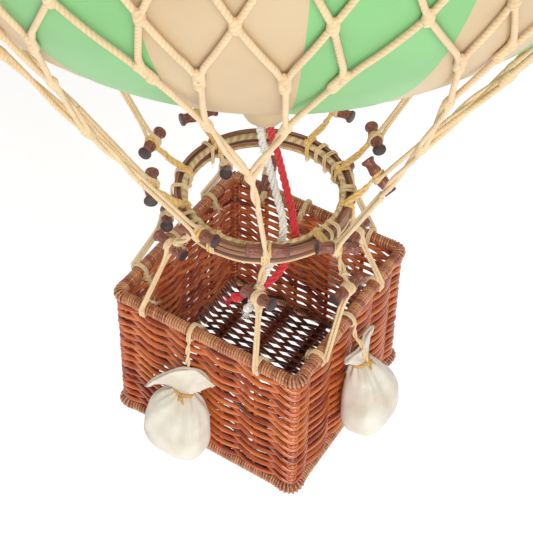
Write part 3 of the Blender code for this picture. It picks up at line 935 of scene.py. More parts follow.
def addHoop():
    radius, wide, tall = hoop["radius"], hoop["halfWidth"], hoop["halfHeight"]
    level, strip = hoop["aboveRim"], hoop["strip"]
    ring = {"material": hoopCane, "closed": True, "upright": True}
    outer, inner = radius + wide - 0.0004, radius - wide + 0.0006
    strips = []
    for row in range(5):
        height = level + (row - 2) * 2 * strip * 0.98
        strips.append(wavered(levelRing(outer, height), 0.0001, 0.02, row))
        if row in (1, 2, 3):
            strips.append(wavered(levelRing(inner, height), 0.0001, 0.02, row + 9))
    outside = tubes("hoopStrips", alike(strips, strip * 1.04), sides=10, flat=0.42, **ring)
    lids = []
    for height in (level + tall - 0.0008, level - tall + 0.0008):
        lids += [levelRing(radius + across, height) for across in hoop["lids"]]
    faces = tubes("hoopFaces", alike(lids, hoop["lid"]), **ring)
    middle = [(levelRing(radius, level), tall * 0.84)]
    core = tubes("hoopCore", middle, sides=12, flat=0.58, **ring)
    finishPiece(joinPieces("hoopRattan", outside, faces, core), "hoop_rattan", "load_hoop")
    cords = []
    for side, cord, turns in hoop["innerCords"]:
        height = level + side * (tall - cord * 0.6)
        middle = levelRing(radius - wide + cord * 0.3, height, 480)
        strands = twisted(middle, cord * 0.50, distances(middle)[-1] / turns, closed=True)
        cords += alike(strands, cord * 0.58)
    edge = tubes("hoopCords", cords, hoopCotton, sides=6, closed=True)
    thin = wavered(levelRing(outer + 0.0003, level - tall + 0.0001, 200), 0.0004, 0.013, 3)
    thin = tubes("hoopEdge", [(thin, hoop["outerCord"])], netCotton, sides=6, closed=True)
    finishPiece(joinPieces("hoopCordEdges", edge, thin), "cord")
    print("hoop done")


addHoop()


# Legs of the net: two cords beside each other from each gather, bound where they join,
# to a toggle that is looped to the hoop by a strop.
def addLeg(leg):
    middle = legCentre(leg)
    turn, reach, height = net["gather"]
    fork = polar(net["fork"][0], middle, net["fork"][1])
    azimuth, away, aboveRim, turnAbout, lean = toggles["upper"][leg]
    at = polar(away, azimuth, aboveRim)
    way = toggleWay(fork - at, turnAbout, lean)
    double = net["pairCord"]
    cords = []
    for number in range(net["meshes"]):
        if topPlace(number)[0] % net["legs"] == leg:
            top, gathered = topKnot(number)
            start = top + (gathered - top).normalized() * net["besideEachOther"]
            run = wavered(straight(start, gathered, 0.003), 0.0004, 0.02, number)
            cords.append((run, net["cord"] * 0.95))
    for number, side in enumerate((-1, 1)):
        gathered = polar(reach, middle + turn * side, height)
        run = wavered(straight(gathered, fork, 0.002), 0.0004, 0.02, leg + number)
        cords += alike(twisted(run, double * 0.92, 0.085, 2, 70 * number + 31 * leg), double)
        cords.append(lump(gathered, fork - gathered, 0.0085, double * 2.1))
    cords.append(lump(fork, at - fork, 0.0100, double * 2.35))
    # Down to the toggle and back: the loop that holds it.
    bound = fork.lerp(at, 0.42)
    run = straight(fork, bound, 0.002)
    cords += alike(twisted(run, double * 0.85, 0.05, 2, 40 * leg), double * 0.95)
    loop = net["loopCord"]
    cords.append((hairpin(bound, at, way, loop, 0.0009, 0.0009, turns=2), loop))
    falling = ((at - fork).normalized() * 0.4 - upward).normalized()
    cords += frayedEnd(bound, falling, 0.0042, 7, 0.6)
    name = f"netLeg{leg + 1:02d}"
    legPiece = tubes(name, cords, netCotton, sides=7)

    stand = hoop["stropStart"] + leg * 360 / net["legs"]
    level = hoop["aboveRim"] + hoop["halfHeight"]
    foot = polar(hoop["radius"] + 0.0004, stand, level)
    shoulder = foot.lerp(at, 0.60)
    sleeve = (foot - upward * 0.001, foot + upward * 0.0012, foot.lerp(at, 0.35), shoulder)
    thick = hoop["stropCord"]
    cords = []
    for strand in twisted(smoothRoute(sleeve, 0.0006), thick * 0.52, 0.045):
        sizes = [thick * 0.56] * (len(strand) - 4) + [thick * 0.40] * 4
        cords.append((strand, sizes))
    cords.append((hairpin(shoulder, at, way, 0.0008, 0.0006, -0.0009), 0.0008))
    cords.append(lump(shoulder, at - foot, 0.0028, 0.0014))
    # Lashed to the hoop with two turns that end in a tuft.
    for number in range(2):
        start = stand - 2.4 + 1.9 * number
        cords.append(roundHoop(start, 1.05, hoop["binding"], 60 + 30 * number, 1.2))
    inner = polar(hoop["radius"] - hoop["halfWidth"] + 0.0005, stand + 1.0, level + 0.0006)
    cords.append((coil(inner, outWay(stand + 90), 0.0009), 0.0006))
    cords += frayedEnd(inner, upward * 0.4 - outWay(stand), 0.0030, 5, 0.8)
    cords += frayedEnd(shoulder, Vector((0.2, -0.2, -1)), 0.0030, 4, 0.7)
    strap = tubes(f"upperStrop{leg + 1:02d}", cords, stropCotton, sides=7)
    finishPiece(joinPieces(name, legPiece, strap), "cord", f"net_leg_{leg + 1:02d}")
    addToggle(f"upperToggle{leg + 1:02d}", f"upper_toggle_{leg + 1:02d}", at, way, leg * 0.8)


for leg in range(net["legs"]):
    addLeg(leg)
print("legs done")


# Lashings that hold the hoop's cords: two turns side by side and a knot inside.
def addLashings():
    cords, thick = [], hoop["lashing"]
    reach = hoop["radius"] - hoop["halfWidth"] - 0.0004
    for azimuth in hoop["lashings"]:
        start = azimuth + dice.uniform(-1, 1)
        for step in range(2):
            turn, drift = start + 1.5 * (step - 0.5), dice.uniform(0.4, 1.4)
            cords.append(roundHoop(turn, 1.03, thick, 200 + 20 * step, drift))
        knot = polar(reach, start, hoop["aboveRim"] - hoop["halfHeight"] - 0.0006)
        cords.append((coil(knot, outWay(start + 90), 0.0008), thick))
        cords += frayedEnd(knot, -upward, 0.0036, 7, 0.8)
    finishPiece(tubes("hoopLashings", cords, netCotton, sides=6), "cord")


addLashings()


# Basket lines: wall, place along its rim, azimuth on the hoop.
basket = {
    "rimHalf": 0.0495,
    "rimTube": 0.003,
    "footHalf": 0.0509,
    "footDrop": 0.081,
    "walls": {"front": 0, "right": 1, "back": 2, "left": 3},
    "lines": (
        ("front", 0.030, -57), ("right", -0.031, -5), ("right", 0.023, 33), ("back", -0.032, 78),
        ("back", 0.028, 123), ("left", -0.027, 157), ("left", 0.032, 213), ("front", -0.033, 250),
    ),
    "lineCord": 0.0008,
    "loopCord": 0.0007,
    "loopTurns": 2.1,
}


# Local frame of a wall: X along it, -Y outward and the origin on the rim.
def wallFrame(wall):
    turn = Matrix.Rotation(basket["walls"][wall] * pi / 2, 4, "Z")
    return turn @ Matrix.Translation((0.0, -basket["rimHalf"], rimLevel))


# A place on a wall's rim, the way along it and the way inward.
def onRim(wall, place):
    to = wallFrame(wall)
    return to @ Vector((place, 0, 0)), to.col[0].xyz, to.col[1].xyz


# Turns of cord round the rim, ending inside in a knot with loose ends.
def rimLoop(wall, place, lean):
    at, along, inward = onRim(wall, place)
    cord, turns = basket["loopCord"], basket["loopTurns"]
    reach = basket["rimTube"] + cord + 0.0002
    first, second = upward * reach, -inward * reach
    route = turning(at, first, second, turns, int(14 * turns), 250, along * 2 * lean)
    knot = at + along * lean * 0.4 + inward * reach * 0.98 - upward * reach * 0.25
    lower = knot + inward * 0.0012 - upward * 0.0010
    tuftWay = inward * 0.6 - upward * 0.7
    return [
        (route, cord),
        (coil(knot + inward * 0.0005, along, cord * 1.5), cord),
        (coil(lower, inward, cord * 1.3), cord),
        *frayedEnd(knot + inward * 0.0008, tuftWay, 0.0058, 16, 0.8, 0.00022),
    ]


# Where a cord that comes down to the rim first touches it, on the outer side, and a place
# further round below.
def rimTouch(wall, place, above, cord):
    at, along, inward = onRim(wall, place)
    rise = (above - at) - along * (above - at).dot(along)
    reach = basket["rimTube"] + cord + 0.0002
    lean = math.acos(reach / rise.length)
    up = rise.normalized()
    aside = (up * inward.dot(up) - inward).normalized()
    touch = at + (up * cos(lean) + aside * sin(lean)) * reach
    return touch, at - inward * reach * 0.75 - upward * reach * 0.72


def addLine(number):
    wall, place, azimuth = basket["lines"][number]
    turn, away, aboveRim, turnAbout, lean = toggles["lower"][number]
    at = polar(away, turn, aboveRim)
    cord = basket["lineCord"]
    touch, under = rimTouch(wall, place, at, cord)
    way = toggleWay(touch - at, turnAbout, lean)
    # The line itself: a hairpin from the rim up round the toggle's waist.
    cords = [(hairpin(touch, at, way, cord, cord * 1.02, -0.0007, turns=2), cord)]
    between = (touch + under) / 2 + (touch - under).normalized() * 0.0002
    foot = smoothRoute((touch, between, under), 0.0008)
    for side in (-cord, cord):
        cords.append(([point + onRim(wall, place)[1] * side for point in foot], cord))
    cords += rimLoop(wall, place, 0.0011)
    # Half way up it is twisted on itself.
    cords.append(lump(at.lerp(touch, 0.16), at - touch, 0.0040, 0.0012))
    # The strop above: two thin cords from the hoop, knotted just over the toggle.
    stand = polar(hoop["radius"] + 0.0004, azimuth, hoop["aboveRim"] - hoop["halfHeight"])
    knot = stand.lerp(at, 0.72)
    run = smoothRoute((stand + upward * 0.001, stand.lerp(knot, 0.5), knot), 0.001)
    cords += alike(twisted(run, 0.0009, 0.017, 2, 40 * number), cord)
    cords.append((hairpin(knot, at, way, cord, 0.0005, 0.0009, turns=2), cord))
    cords.append(lump(knot, at - stand, 0.0030, 0.0014))
    cords.append((coil(knot, at - stand, 0.0014), 0.0007))
    for step in range(2):
        start = azimuth - 2.0 + 1.8 * step
        cords.append(roundHoop(start, 1.04, hoop["binding"], 250 + 25 * step, 1.3))
    tuftWay = Vector((dice.uniform(-1, 1), dice.uniform(-1, 1), -0.5))
    cords += frayedEnd(knot, tuftWay, 0.0046, 9, 0.7)
    piece = tubes(f"basketLine{number + 1}", cords, netCotton, sides=7)
    finishPiece(piece, "cord", f"basket_line_{number + 1}")
    addToggle(f"lowerToggle{number + 1}", f"lower_toggle_{number + 1}", at, way, number * 0.9)


for number in range(len(basket["lines"])):
    addLine(number)
bpy.data.objects.remove(togglePattern)
print("basket lines done")


# Crown ring that the net ends on, bound with turns of cord, and the loop to hang it by.
crown = {"radius": 0.012, "cord": 0.0013, "loop": 0.001, "loopPitch": 0.0058, "bind": 0.0019}


def addCrown():
    low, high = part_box("crown_ring")
    radius, cord, loop, bind = (crown[key] for key in ("radius", "cord", "loop", "bind"))
    level = (low.z + high.z) / 2
    ring = levelRing(radius, level - rimLevel, 150)
    strands = twisted(ring, cord * 0.5, distances(ring)[-1] / 14, closed=True)
    piece = tubes("crownRing", alike(strands, cord * 0.58), netCotton, sides=7, closed=True)
    # Each pair of net cords is turned round the ring.
    binds = []
    for number in range(net["meshes"] // 2):
        out = outWay(net["start"] + net["pitch"] * (2 * number + 0.5))
        binds.append(turning(upward * level + out * radius, out * bind, upward * bind, 1, 12))
    bound = tubes("crownBinds", alike(binds, 0.0007), netCotton, sides=6)
    finishPiece(joinPieces("crownRing", piece, bound), "cord", "crown_ring")
    low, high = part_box("hanging_loop")
    foot, arch = low.z + 0.0002, []
    for step in range(61):
        angle = step / 60 * pi
        rise = (high.z - loop - foot) * sin(angle) ** 0.9
        arch.append(Vector((radius * cos(angle), 0, foot + rise)))
    cords = alike(twisted(arch, loop * 0.52, crown["loopPitch"]), loop * 0.56)
    for side in (-radius, radius):
        cords.append(lump(Vector((side, 0, low.z + 0.0012)), upward, 0.0044, 0.0019))
    finishPiece(tubes("hangingLoop", cords, netCotton, sides=7), "cord", "hanging_loop")


addCrown()
print("crown done")


# Basket: four stakes to a wall and a post at each corner, rows of two rods twisted round
# them, and a rim and a foot wrapped with cane.
weave = {
    "rows": 14,
    "top": 0.0020,
    "bottom": 0.0778,
    "rod": 0.00108,
    "inOut": 0.0020,
    "rise": 0.00112,
    "corner": 0.002,
    "cornerOut": 0.0004,
    "cornerRise": 0.00130,
    "cornerBlend": 0.30,
    "stakePlaces": (-0.0288, -0.0096, 0.0096, 0.0288),
    "stake": 0.00115,
    "post": 0.0027,
    "postRod": 0.0009,
    "stakesToWall": 5,
    "wander": 0.00036,
    # Where each stretch from stake to stake has its points, closer together at a post.
    "steps": (0, 0.09, 0.18, 0.27, 0.36, 0.45, 0.55, 0.64, 0.73, 0.82, 0.91),
    "stepsAfterPost": (
        0, 0.02, 0.04, 0.06, 0.08, 0.12, 0.18, 0.26, 0.35, 0.45, 0.55, 0.66, 0.77, 0.88,
    ),
    "stepsBeforePost": (
        0, 0.12, 0.23, 0.34, 0.45, 0.55, 0.65, 0.74, 0.82, 0.88, 0.92, 0.94, 0.96, 0.98,
    ),
}

# Willow rods, stained red brown and varnished: glossy, each rod its own shade, with darker
# stain along the fibres.
willow = splitCane("willow, stained and varnished", "#5C1C0C", "#B34B1D", "#D57437", 0.27, 0.75)
wrapCane = splitCane(
    "rattan wrapping, stained and varnished", "#6A2A12", "#A25530", "#C98858", 0.26, 0.7,
)
# Painted shade: the floor, and the cores seen between the turns of wrapping cane, are painted
# nearly black for the shade inside the basket and between the turns.
shadedCane = splitCane("willow, stained, painted dark as shade", "#3A170D", "#642C1B", "#8E4B30", 0.36, 0.4)


# A place on the walls. Turn counts the stakes round from the front left post, five to a
# wall; drop is measured down from the rim, and out away from the wall's middle.
def onWalls(turn, drop, out=0.0):
    spread = (basket["footHalf"] - basket["rimHalf"]) * drop / basket["footDrop"]
    corner = weave["corner"]
    flat = basket["rimHalf"] + spread - corner
    end = flat + corner * pi / 4
    places = (-end, *weave["stakePlaces"], end)
    count = weave["stakesToWall"]
    wall, share = int(turn // count) % 4, turn % count
    low = int(share)
    along = places[low] + (places[low + 1] - places[low]) * (share - low)
    bend = max(0.0, abs(along) - flat) / corner
    away = Vector((copysign(sin(bend), along), -cos(bend), 0.0))
    middle = Vector((copysign(min(abs(along), flat), along), -flat, 0.0))
    found = Matrix.Rotation(wall * pi / 2, 4, "Z") @ (middle + away * (corner + out))
    found.z = rimLevel - drop
    return found


# How a rod of a row runs: in front of one stake and behind the next, twisted round the
# other rod between them, and falling where it comes out. At a corner post both rods pass
# outside, one above the other.
def pairing(turn, rod):
    angle = pi * (turn + rod)
    out, height = cos(angle) * weave["inOut"], -sin(angle) * weave["rise"]
    post = round(turn / weave["stakesToWall"]) * weave["stakesToWall"]
    near = max(0.0, 1 - abs(turn - post) / weave["cornerBlend"])
    near *= near * (3 - 2 * near)
    level = -weave["cornerRise"] if (post + rod) % 2 == 0 else weave["cornerRise"]
    return out + (weave["cornerOut"] - out) * near, height + (level - height) * near


def addWeave():
    cords, turns = [], []
    pitch = (weave["bottom"] - weave["top"]) / weave["rows"]
    count = weave["stakesToWall"]
    stakes = count * 4
    steps = {0: weave["stepsAfterPost"], count - 1: weave["stepsBeforePost"]}
    for stake in range(stakes):
        turns += [stake + share for share in steps.get(stake % count, weave["steps"])]
    for row in range(weave["rows"]):
        for rod in range(2):
            route = []
            shift = dice.uniform(-0.0002, 0.0002)
            for turn in turns:
                out, height = pairing(turn, rod)
                drop = weave["top"] + (row + 0.5) * pitch - height + shift
                route.append(onWalls(turn, drop, out))
            route = wavered(route, weave["wander"], 0.016, row * 3 + rod)
            cords.append((route, weave["rod"] * dice.uniform(0.92, 1.12)))
    walls = tubes("basketWeave", cords, willow, closed=True)
    finishPiece(walls, "wicker", *(f"basket_wall_{wall}" for wall in basket["walls"]))
    drops = (0.0015, 0.02, 0.04, 0.06, basket["footDrop"] - 0.0010)
    uprights = []
    for stake in range(stakes):
        if stake % count:
            line = smoothRoute([onWalls(stake, drop) for drop in drops], 0.004)
            uprights.append(wavered(line, 0.0003, 0.02, stake))
    finishPiece(tubes("basketStakes", alike(uprights, weave["stake"]), willow), "wicker")
    post, rod = weave["post"], weave["postRod"]
    for quarter, stake in enumerate((2 * count, 3 * count, 0, count)):
        line = smoothRoute([onWalls(stake, drop, -weave["corner"]) for drop in drops], 0.00025)
        cords = [(line[::12], post * 0.7), (wound(line, post - rod, pitch / 2, 90 * quarter), rod)]
        piece = tubes(f"cornerPost{quarter + 1}", cords, willow)
        finishPiece(piece, "wicker", f"corner_post_{quarter + 1}")


addWeave()
print("weave done")


def roundedSquare(half, corner, level, step):
    points = []
    flat = half - corner
    bends, runs = max(4, round(corner * pi / 2 / step)), round(2 * flat / step)
    for quarter in range(4):
        turn = Matrix.Rotation(quarter * pi / 2, 4, "Z")
        for number in range(bends):
            angle = number / bends * pi / 2
            x, y = flat + corner * cos(angle), flat + corner * sin(angle)
            points.append(turn @ Vector((x, y, level)))
        for number in range(runs):
            points.append(turn @ Vector((flat - 2 * flat * number / runs, half, level)))
    return points


# Cane wrapped closely round a border. Swell is how much thicker a corner is, how far it
# stands out, and over what length.
border = {"turns": 286, "cane": 0.00070, "pointsPerTurn": 11}


def wrapped(name, half, corner, level, tube, swell, seed, node):
    fat, outwards, width = swell
    length = 8 * (half - corner) + tau * corner
    route = roundedSquare(half, corner, level, length / (border["turns"] * border["pointsPerTurn"]))
    along = distances([*route, route[0]])
    tip = half * math.sqrt(2) - corner * (math.sqrt(2) - 1)
    helix, core, coreSizes = [], [], []
    sides = carriedSides(route, True)
    for number, (point, distance, (first, second)) in enumerate(zip(route, along, sides)):
        diagonal = Vector((copysign(1, point.x), copysign(1, point.y), 0)) / math.sqrt(2)
        near = exp(-(((point - diagonal * tip).xy.length / width) ** 2))
        loose = noise.noise(point / 0.006 + Vector((seed, 0, 0))) * 1.5
        angle = tau * border["turns"] * distance / along[-1] + loose
        reach = (tube - border["cane"] + fat * near) * (1 + 0.04 * noise.noise(point / 0.0017))
        away = (first * cos(angle) + second * sin(angle)) * reach
        away.z *= 1 - 0.25 * near
        helix.append(point + diagonal * outwards * near + away)
        if number % 20 == 0:
            core.append(point + diagonal * outwards * near)
            coreSizes.append(tube * 0.74 + fat * near * 0.9)
    turns = tubes(name, [(helix, border["cane"])], wrapCane, sides=6, closed=True)
    # The core, seen between the turns, is painted nearly black: painted shade.
    inside = tubes(name + "Core", [(core, coreSizes)], shadedCane, sides=10, closed=True)
    finishPiece(joinPieces(name, turns, inside), "wicker", node)


wrapped(
    "basketRim", basket["rimHalf"], 0.0052, rimLevel, basket["rimTube"] + 0.0001,
    (0.0005, 0.0007, 0.0046), 1, "basket_rim",
)
wrapped(
    "footBorder", basket["footHalf"], 0.006, rimLevel - basket["footDrop"], 0.0032,
    (0.0010, 0.0014, 0.0050), 5, "foot_border",
)
print("rim and foot done")


# Floor: bars of two sticks, and rods that lie in pairs over and under each bar and change
# partners on the way to the next, so the gaps between them are wedges.
ground = {
    "drop": 0.0802,
    "bars": (-0.0331, -0.0110, 0.0110, 0.0331),
    "stick": 0.00122,
    "half": 0.0486,
    "rod": 0.00094,
    "pitch": 0.0022,
    "rods": 45,
    "gather": 0.0010,
    "held": 0.0024,
    "lift": 0.0020,
    # Where the floor begins to climb to its edge, where it ends, and how far it climbs.
    "edge": (0.0450, 0.0485, 0.0024),
}


def addFloor():
    level, half, stick = rimLevel - ground["drop"], ground["half"], ground["stick"]
    inner, outer, climb = ground["edge"]
    bars, rods = [], []
    for number, place in enumerate(ground["bars"]):
        for side in (-stick, stick):
            line = [Vector((place + side, share / 8 * half, level)) for share in range(-8, 9)]
            bars.append(wavered(line, 0.0003, 0.02, number + 40))
    places = (-half, *ground["bars"], half)
    for number in range(ground["rods"]):
        middle = (number - (ground["rods"] - 1) / 2) * ground["pitch"]
        route = []
        for order, (first, second) in enumerate(zip(places, places[1:])):
            way = 1 if (number + order) % 2 == 0 else -1
            for step in range(12 if second < half else 13):
                share = step / 12
                x = first + (second - first) * share
                free = (x - first - ground["held"]) / (second - first - 2 * ground["held"])
                aside = way * ground["gather"] * (1 - 2 * max(0.0, min(1.0, free)))
                edge = (max(abs(x), abs(middle)) - inner) / (outer - inner)
                lift = way * ground["lift"] * cos(pi * share) + max(0.0, min(1.0, edge)) * climb
                route.append(Vector((x, middle + aside, level + lift)))
        route = wavered(route, 0.00022, 0.012, number + 60)
        rods.append((route, ground["rod"] * dice.uniform(0.93, 1.06)))
    # The floor's cane is painted nearly black for the shade inside the basket: painted shade.
    thick = tubes("floorBars", alike(bars, stick), shadedCane, sides=10)
    thin = tubes("floorRods", rods, shadedCane)
    finishPiece(joinPieces("basketFloor", thick, thin), "floor_cane", "basket_floor")


addFloor()
print("floor done")


# Sandbags of calico, one on each wall.
bags = {
    "sacks": (
        # Wall, place along its rim, drop of the tied neck, stretch of the sack downward,
        # slimness of its shoulders, how far the cord stands out at the neck, and a number
        # that sets the folds.
        ("front", -0.006, 0.033, 1.10, -0.10, 0.0054, 3),
        ("right", -0.004, 0.023, 1.28, 0.16, 0.0122, 8),
        ("back", 0.005, 0.031, 1.10, 0.0, 0.0054, 14),
        ("left", 0.005, 0.030, 1.16, 0.06, 0.0056, 21),
    ),
    # Turn of the frill about the neck, reach and drop of its left and right ends, and drop of
    # its middle.
    "frills": {
        "front": (26, 0.0196, 0.0030, 0.0140, -0.0050, -0.0144),
        "right": (0, 0.0125, -0.0085, 0.0135, -0.0100, -0.0080),
        "back": (-12, 0.0150, -0.0030, 0.0165, -0.0010, -0.0138),
        "left": (10, 0.0160, -0.0040, 0.0145, -0.0060, -0.0130),
    },
    "frillEnd": 0.30,
    "frillLean": 0.0012,
    # Folds of the frill: the angle they stand at, and their depth.
    "frillFolds": ((1.95, 0.0014), (1.25, 0.0017), (-1.4, 0.0012), (-2.0, 0.0010)),
    # Half width and half depth of the neck, and how far its middle is outward of the rim.
    "neck": (0.0047, 0.0034, 0.0090),
    "columns": 112,
    "rows": 76,
    "flat": (0.088, 0.066),
    # Share down the cloth, drop below the neck, half width, half depth, outward of the rim.
    "outline": (
        (0.30, 0.0000, 0.0047, 0.0034, 0.0090), (0.34, 0.0010, 0.0047, 0.0036, 0.0092),
        (0.40, 0.0036, 0.0096, 0.0068, 0.0110), (0.50, 0.0090, 0.0142, 0.0098, 0.0138),
        (0.62, 0.0160, 0.0162, 0.0118, 0.0162), (0.76, 0.0236, 0.0165, 0.0124, 0.0168),
        (0.86, 0.0290, 0.0151, 0.0112, 0.0162), (0.93, 0.0322, 0.0116, 0.0086, 0.0152),
        (0.97, 0.0334, 0.0066, 0.0050, 0.0146), (1.00, 0.0337, 0.0000, 0.0000, 0.0142),
    ),
    "cloth": 0.0005,
    "hem": 0.055,
    "hemDepth": 0.0009,
    "hemWidth": 0.004,
    "stitches": (0.016, 0.044),
    "stitch": 0.0014,
    "stitchPitch": 0.0022,
    "tie": 0.0006,
    "cord": 0.0006,
}


# Calico: thin unbleached cotton in a plain weave, with flecks of seed and soft creases.
# Its threads are 0.35 mm apart.
def unbleachedCalico():
    made, add, shader = newMaterial(
        "calico, unbleached", Roughness=0.95, Sheen_Weight=0.2, Sheen_Roughness=0.5,
    )
    where = add("TexCoord")
    place = (where, "Object")
    tone = add("ValToRGB", add("TexNoise", Vector=place, Scale=90.0, Detail=3.0))
    setRamp(tone, (0.30, "#DDD2BD"), (0.55, "#E9E1D1"), (0.75, "#EFE9DC"))
    fleck = add("TexNoise", Vector=place, Scale=1500.0, Detail=1.0)
    seed = add("MapRange", fleck, 0.74, 0.78)
    colour = add("Mix", Factor=seed, A=tone, B=hexColour("#B89E76"), data_type="RGBA")
    split = add("SeparateXYZ", (where, "UV"))
    threads = []
    for socket in (0, 1):
        turns = add("Math", (split, socket), tau / 0.0007, operation="MULTIPLY")
        threads.append(add("Math", turns, operation="SINE"))
    cross = add("Math", *threads, operation="MULTIPLY")
    crease = add("TexNoise", Vector=place, Scale=260.0, Detail=3.0)
    height = add("Math", crease, 3.0, cross, operation="MULTIPLY_ADD")
    dress(shader, (colour, "Result"), height, 0.5, 0.00006)
    return made


calico = unbleachedCalico()


# How near a value lies to a place, from 0 to 1.
def nearness(value, place, width):
    return exp(-(((value - place) / width) ** 2))


# A fold: the same for an angle and the fold's own.
def ridge(angle, place, width):
    return nearness((angle - place + pi) % tau - pi, 0.0, width)


# Where a point of the frill is in the frame of its bag's neck: a flat fan from the neck
# (share 0) to the hem (share 1), highest in its middle, with V folds that run up from the
# neck.
def frillPlace(angle, share, wall, seed):
    turn, leftReach, leftDrop, rightReach, rightDrop, middleDrop = bags["frills"][wall]
    wide, deep, out = bags["neck"]
    side, front = cos(angle), sin(angle)
    reach, endDrop = (rightReach, rightDrop) if side > 0 else (leftReach, leftDrop)
    drop = (middleDrop + (endDrop - middleDrop) * abs(side) ** 1.8) * share
    x = side * (wide + (reach - wide) * share ** 0.9)
    y = front * (deep + (bags["hemDepth"] - deep) * share ** 0.8)
    slack = noise.noise(Vector((3.0 * side, 1.5 * front, seed)))
    y += share * (0.0005 * slack + 0.0009 * sin(4 * side + seed))
    for place, depth in bags["frillFolds"]:
        lean = copysign(pi / 2, place)
        fold = ridge(angle, lean + (place - lean) * (0.35 + 0.65 * share), 0.24)
        fold *= sin(min(1.0, share * 1.6) * pi / 2) * (1.4 - share)
        y -= copysign(depth, place) * fold
    about = radians(turn) * math.sqrt(share)
    outward = out - bags["frillLean"] * share - x * sin(about) + y * cos(about)
    return Vector((x * cos(about) + y * sin(about), -outward, -drop))


# Where a point of the sack is in the same frame, from its share across the cloth, which is
# once round the sack, and its share down it, from the hem of the frill to the bottom.
def sackPlace(across, down, wall, stretch, slim, seed):
    angle = across * tau
    if down < bags["frillEnd"]:
        return frillPlace(angle, 1 - down / bags["frillEnd"], wall, seed)
    rows = np.array(bags["outline"])
    near = (down,)
    if 0.34 < down < 0.95:
        near = (down - 0.025, down - 0.012, down, down + 0.012, down + 0.025)
    drop, wide, deep, outward = (
        np.mean(np.interp(near, rows[:, 0], rows[:, place])) for place in (1, 2, 3, 4)
    )
    drop *= stretch
    wide *= 1 - slim * nearness(down, 0.46, 0.10)
    side, front = cos(angle), sin(angle)
    body = max(0.0, min(1.0, (down - 0.32) / 0.10)) * max(0.0, min(1.0, (1.0 - down) / 0.10))
    square = 1.0 - 0.22 * body
    x = wide * copysign(abs(side) ** square, side)
    y = deep * copysign(abs(front) ** square, front)
    # Gathers close to the neck, above and below it.
    close = nearness(down, 0.325, 0.075) * min(1.0, (down - bags["frillEnd"]) / 0.02)
    gather = close * 0.14 * cos(11 * angle + 1.7 * sin(2 * angle + seed))
    # Folds that run down the sack: a deep one in the middle between two ridges, and others.
    run = max(0.0, down - 0.34)
    fade = sin(min(1.0, run / 0.10) * pi / 2) * max(0.0, 1 - run / 0.42)
    middle = pi / 2 + 0.25 * sin(seed * 1.7)
    folds = sum(depth * ridge(angle, middle + aside, width) for depth, aside, width in (
        (-0.20, -0.13 - 0.25 * run, 0.15), (0.11, -0.48, 0.20), (0.13, 0.30 + 2.3 * run, 0.20),
        (-0.10, 0.12 + 1.2 * run, 0.16), (-0.13, -1.25, 0.20), (0.08, 1.9, 0.25),
        (-0.10, 2.6, 0.20),
    ))
    slack = 0.05 * noise.noise(Vector((1.6 * side, 1.6 * front, 5 * down + seed))) * body
    facing = 0.35 + 0.65 * (front + 1) / 2
    grow = 1 + gather + (folds * fade + slack) * facing
    # It sags: fullest low down, with a crease where it bends below the neck.
    drop += 0.0007 * body * noise.noise(Vector((2 * side, 2 * front, seed + 9)))
    grow -= 0.045 * nearness(down, 0.47 + 0.02 * side, 0.018) * facing * body
    return Vector((x * grow, -outward - y * grow, -drop))


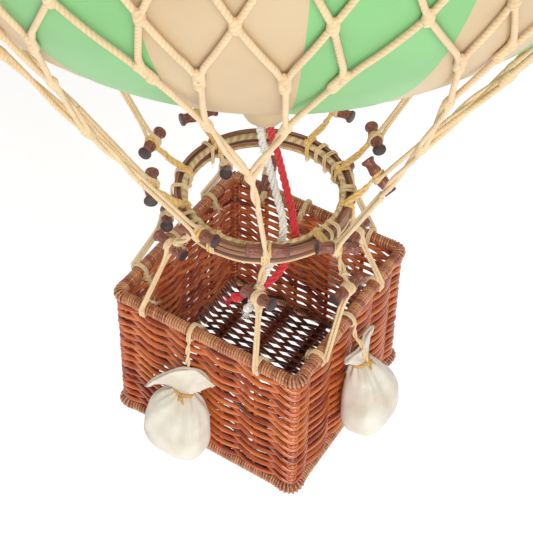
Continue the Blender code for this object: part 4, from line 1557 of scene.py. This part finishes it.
def addSandbag(wall, place, neckDrop, stretch, slim, cordOut, seed):
    rim = wallFrame(wall)
    to = rim @ Matrix.Translation((place, 0.0, -neckDrop))
    along, outward = to.col[0].xyz, -to.col[1].xyz
    name, body = f"sandbag{wall.capitalize()}", f"sandbag_{wall}"
    columns, cloth, tie = bags["columns"], bags["cloth"], bags["tie"]
    width, length = bags["flat"]

    def carry(across, down):
        return to @ sackPlace(across, down, wall, stretch, slim, seed)

    def carryHem(across, down):
        return carry(across, down * bags["hem"])

    sack = carriedCloth(name, columns, bags["rows"], width, length, carry, calico)
    thicken(cloth)
    # The hem is a second turn of cloth along the top edge, sewn down with two rows of thread.
    hem = carriedCloth(name + "Hem", columns, 6, width, bags["hemWidth"], carryHem, calico)
    thicken(cloth * 1.9, 0.6)
    finishPiece(joinPieces(name, sack, hem), "calico", body, body=body)
    wide, deep, out = bags["neck"]
    middle = to @ Vector((0, -out, 0.012))
    stitches = []
    for row, down in enumerate(bags["stitches"]):
        edge = [carry(step / 220, down) for step in range(221)]
        reached = distances(edge)
        start = 0.0008 * row
        while start + bags["stitch"] < reached[-1]:
            ends = (start, start + bags["stitch"])
            first, last = (int(np.interp(value, reached, range(221))) for value in ends)
            lift = outward * copysign(0.00062, (edge[first] - middle).dot(outward))
            if last > first:
                stitches.append([point + lift for point in edge[first:last + 1]])
            start += bags["stitchPitch"]
    thread = tubes(name + "Stitches", alike(stitches, 0.00013), strawCotton, sides=5)
    finishPiece(thread, "calico", body=body)
    # Tied at the neck, and hung on a cord from a loop round the rim.
    at = to @ Vector((0, -out, -0.0006))
    first, second = along * (wide + 0.0004), outward * (deep + 0.0005)
    ring = turning(at, first, second, 3, 72, math.degrees(0.6), -upward * 0.0020)
    knot = to @ Vector((0.0012, -out - deep - 0.0011, -0.0006))
    ties = [ring, coil(knot, outward, 0.0008), coil(knot + outward * 0.0005, upward, 0.0007)]
    for lean in (-0.0030, 0.0042):
        end = knot + along * lean + outward * 0.0012 - upward * 0.0058
        ties.append(smoothRoute((knot, knot.lerp(end, 0.5) + outward * 0.0010, end), 0.0008))
    finishPiece(tubes(name + "Tie", alike(ties, tie), strawCotton, sides=7), "cord", body=body)
    # How far the cord has dropped, and how far outward it is there.
    down = (
        (0.0, 0.0041), (0.0035, 0.0040), (0.010, 0.0052),
        (neckDrop * 0.55, (0.0052 + cordOut) / 2), (neckDrop - 0.0006, cordOut),
    )
    run = smoothRoute([(place, -outwardOf, -dropOf) for dropOf, outwardOf in down], 0.0012)
    cord = bags["cord"]
    strands = twisted([rim @ point for point in run], cord, 0.015, 2, seed * 40)
    # The loop stays on the rim when the bag swings.
    loop = rimLoop(wall, place, 0.0010)
    hung = tubes(name + "Cord", alike(strands, cord), netCotton, sides=7)
    finishPiece(hung, "cord", body=body)
    finishPiece(tubes(name + "RimLoop", loop, netCotton, sides=7), "cord")


for sack in bags["sacks"]:
    addSandbag(*sack)
print("sandbags done")

for profile in profiles.values():
    bpy.data.objects.remove(profile)
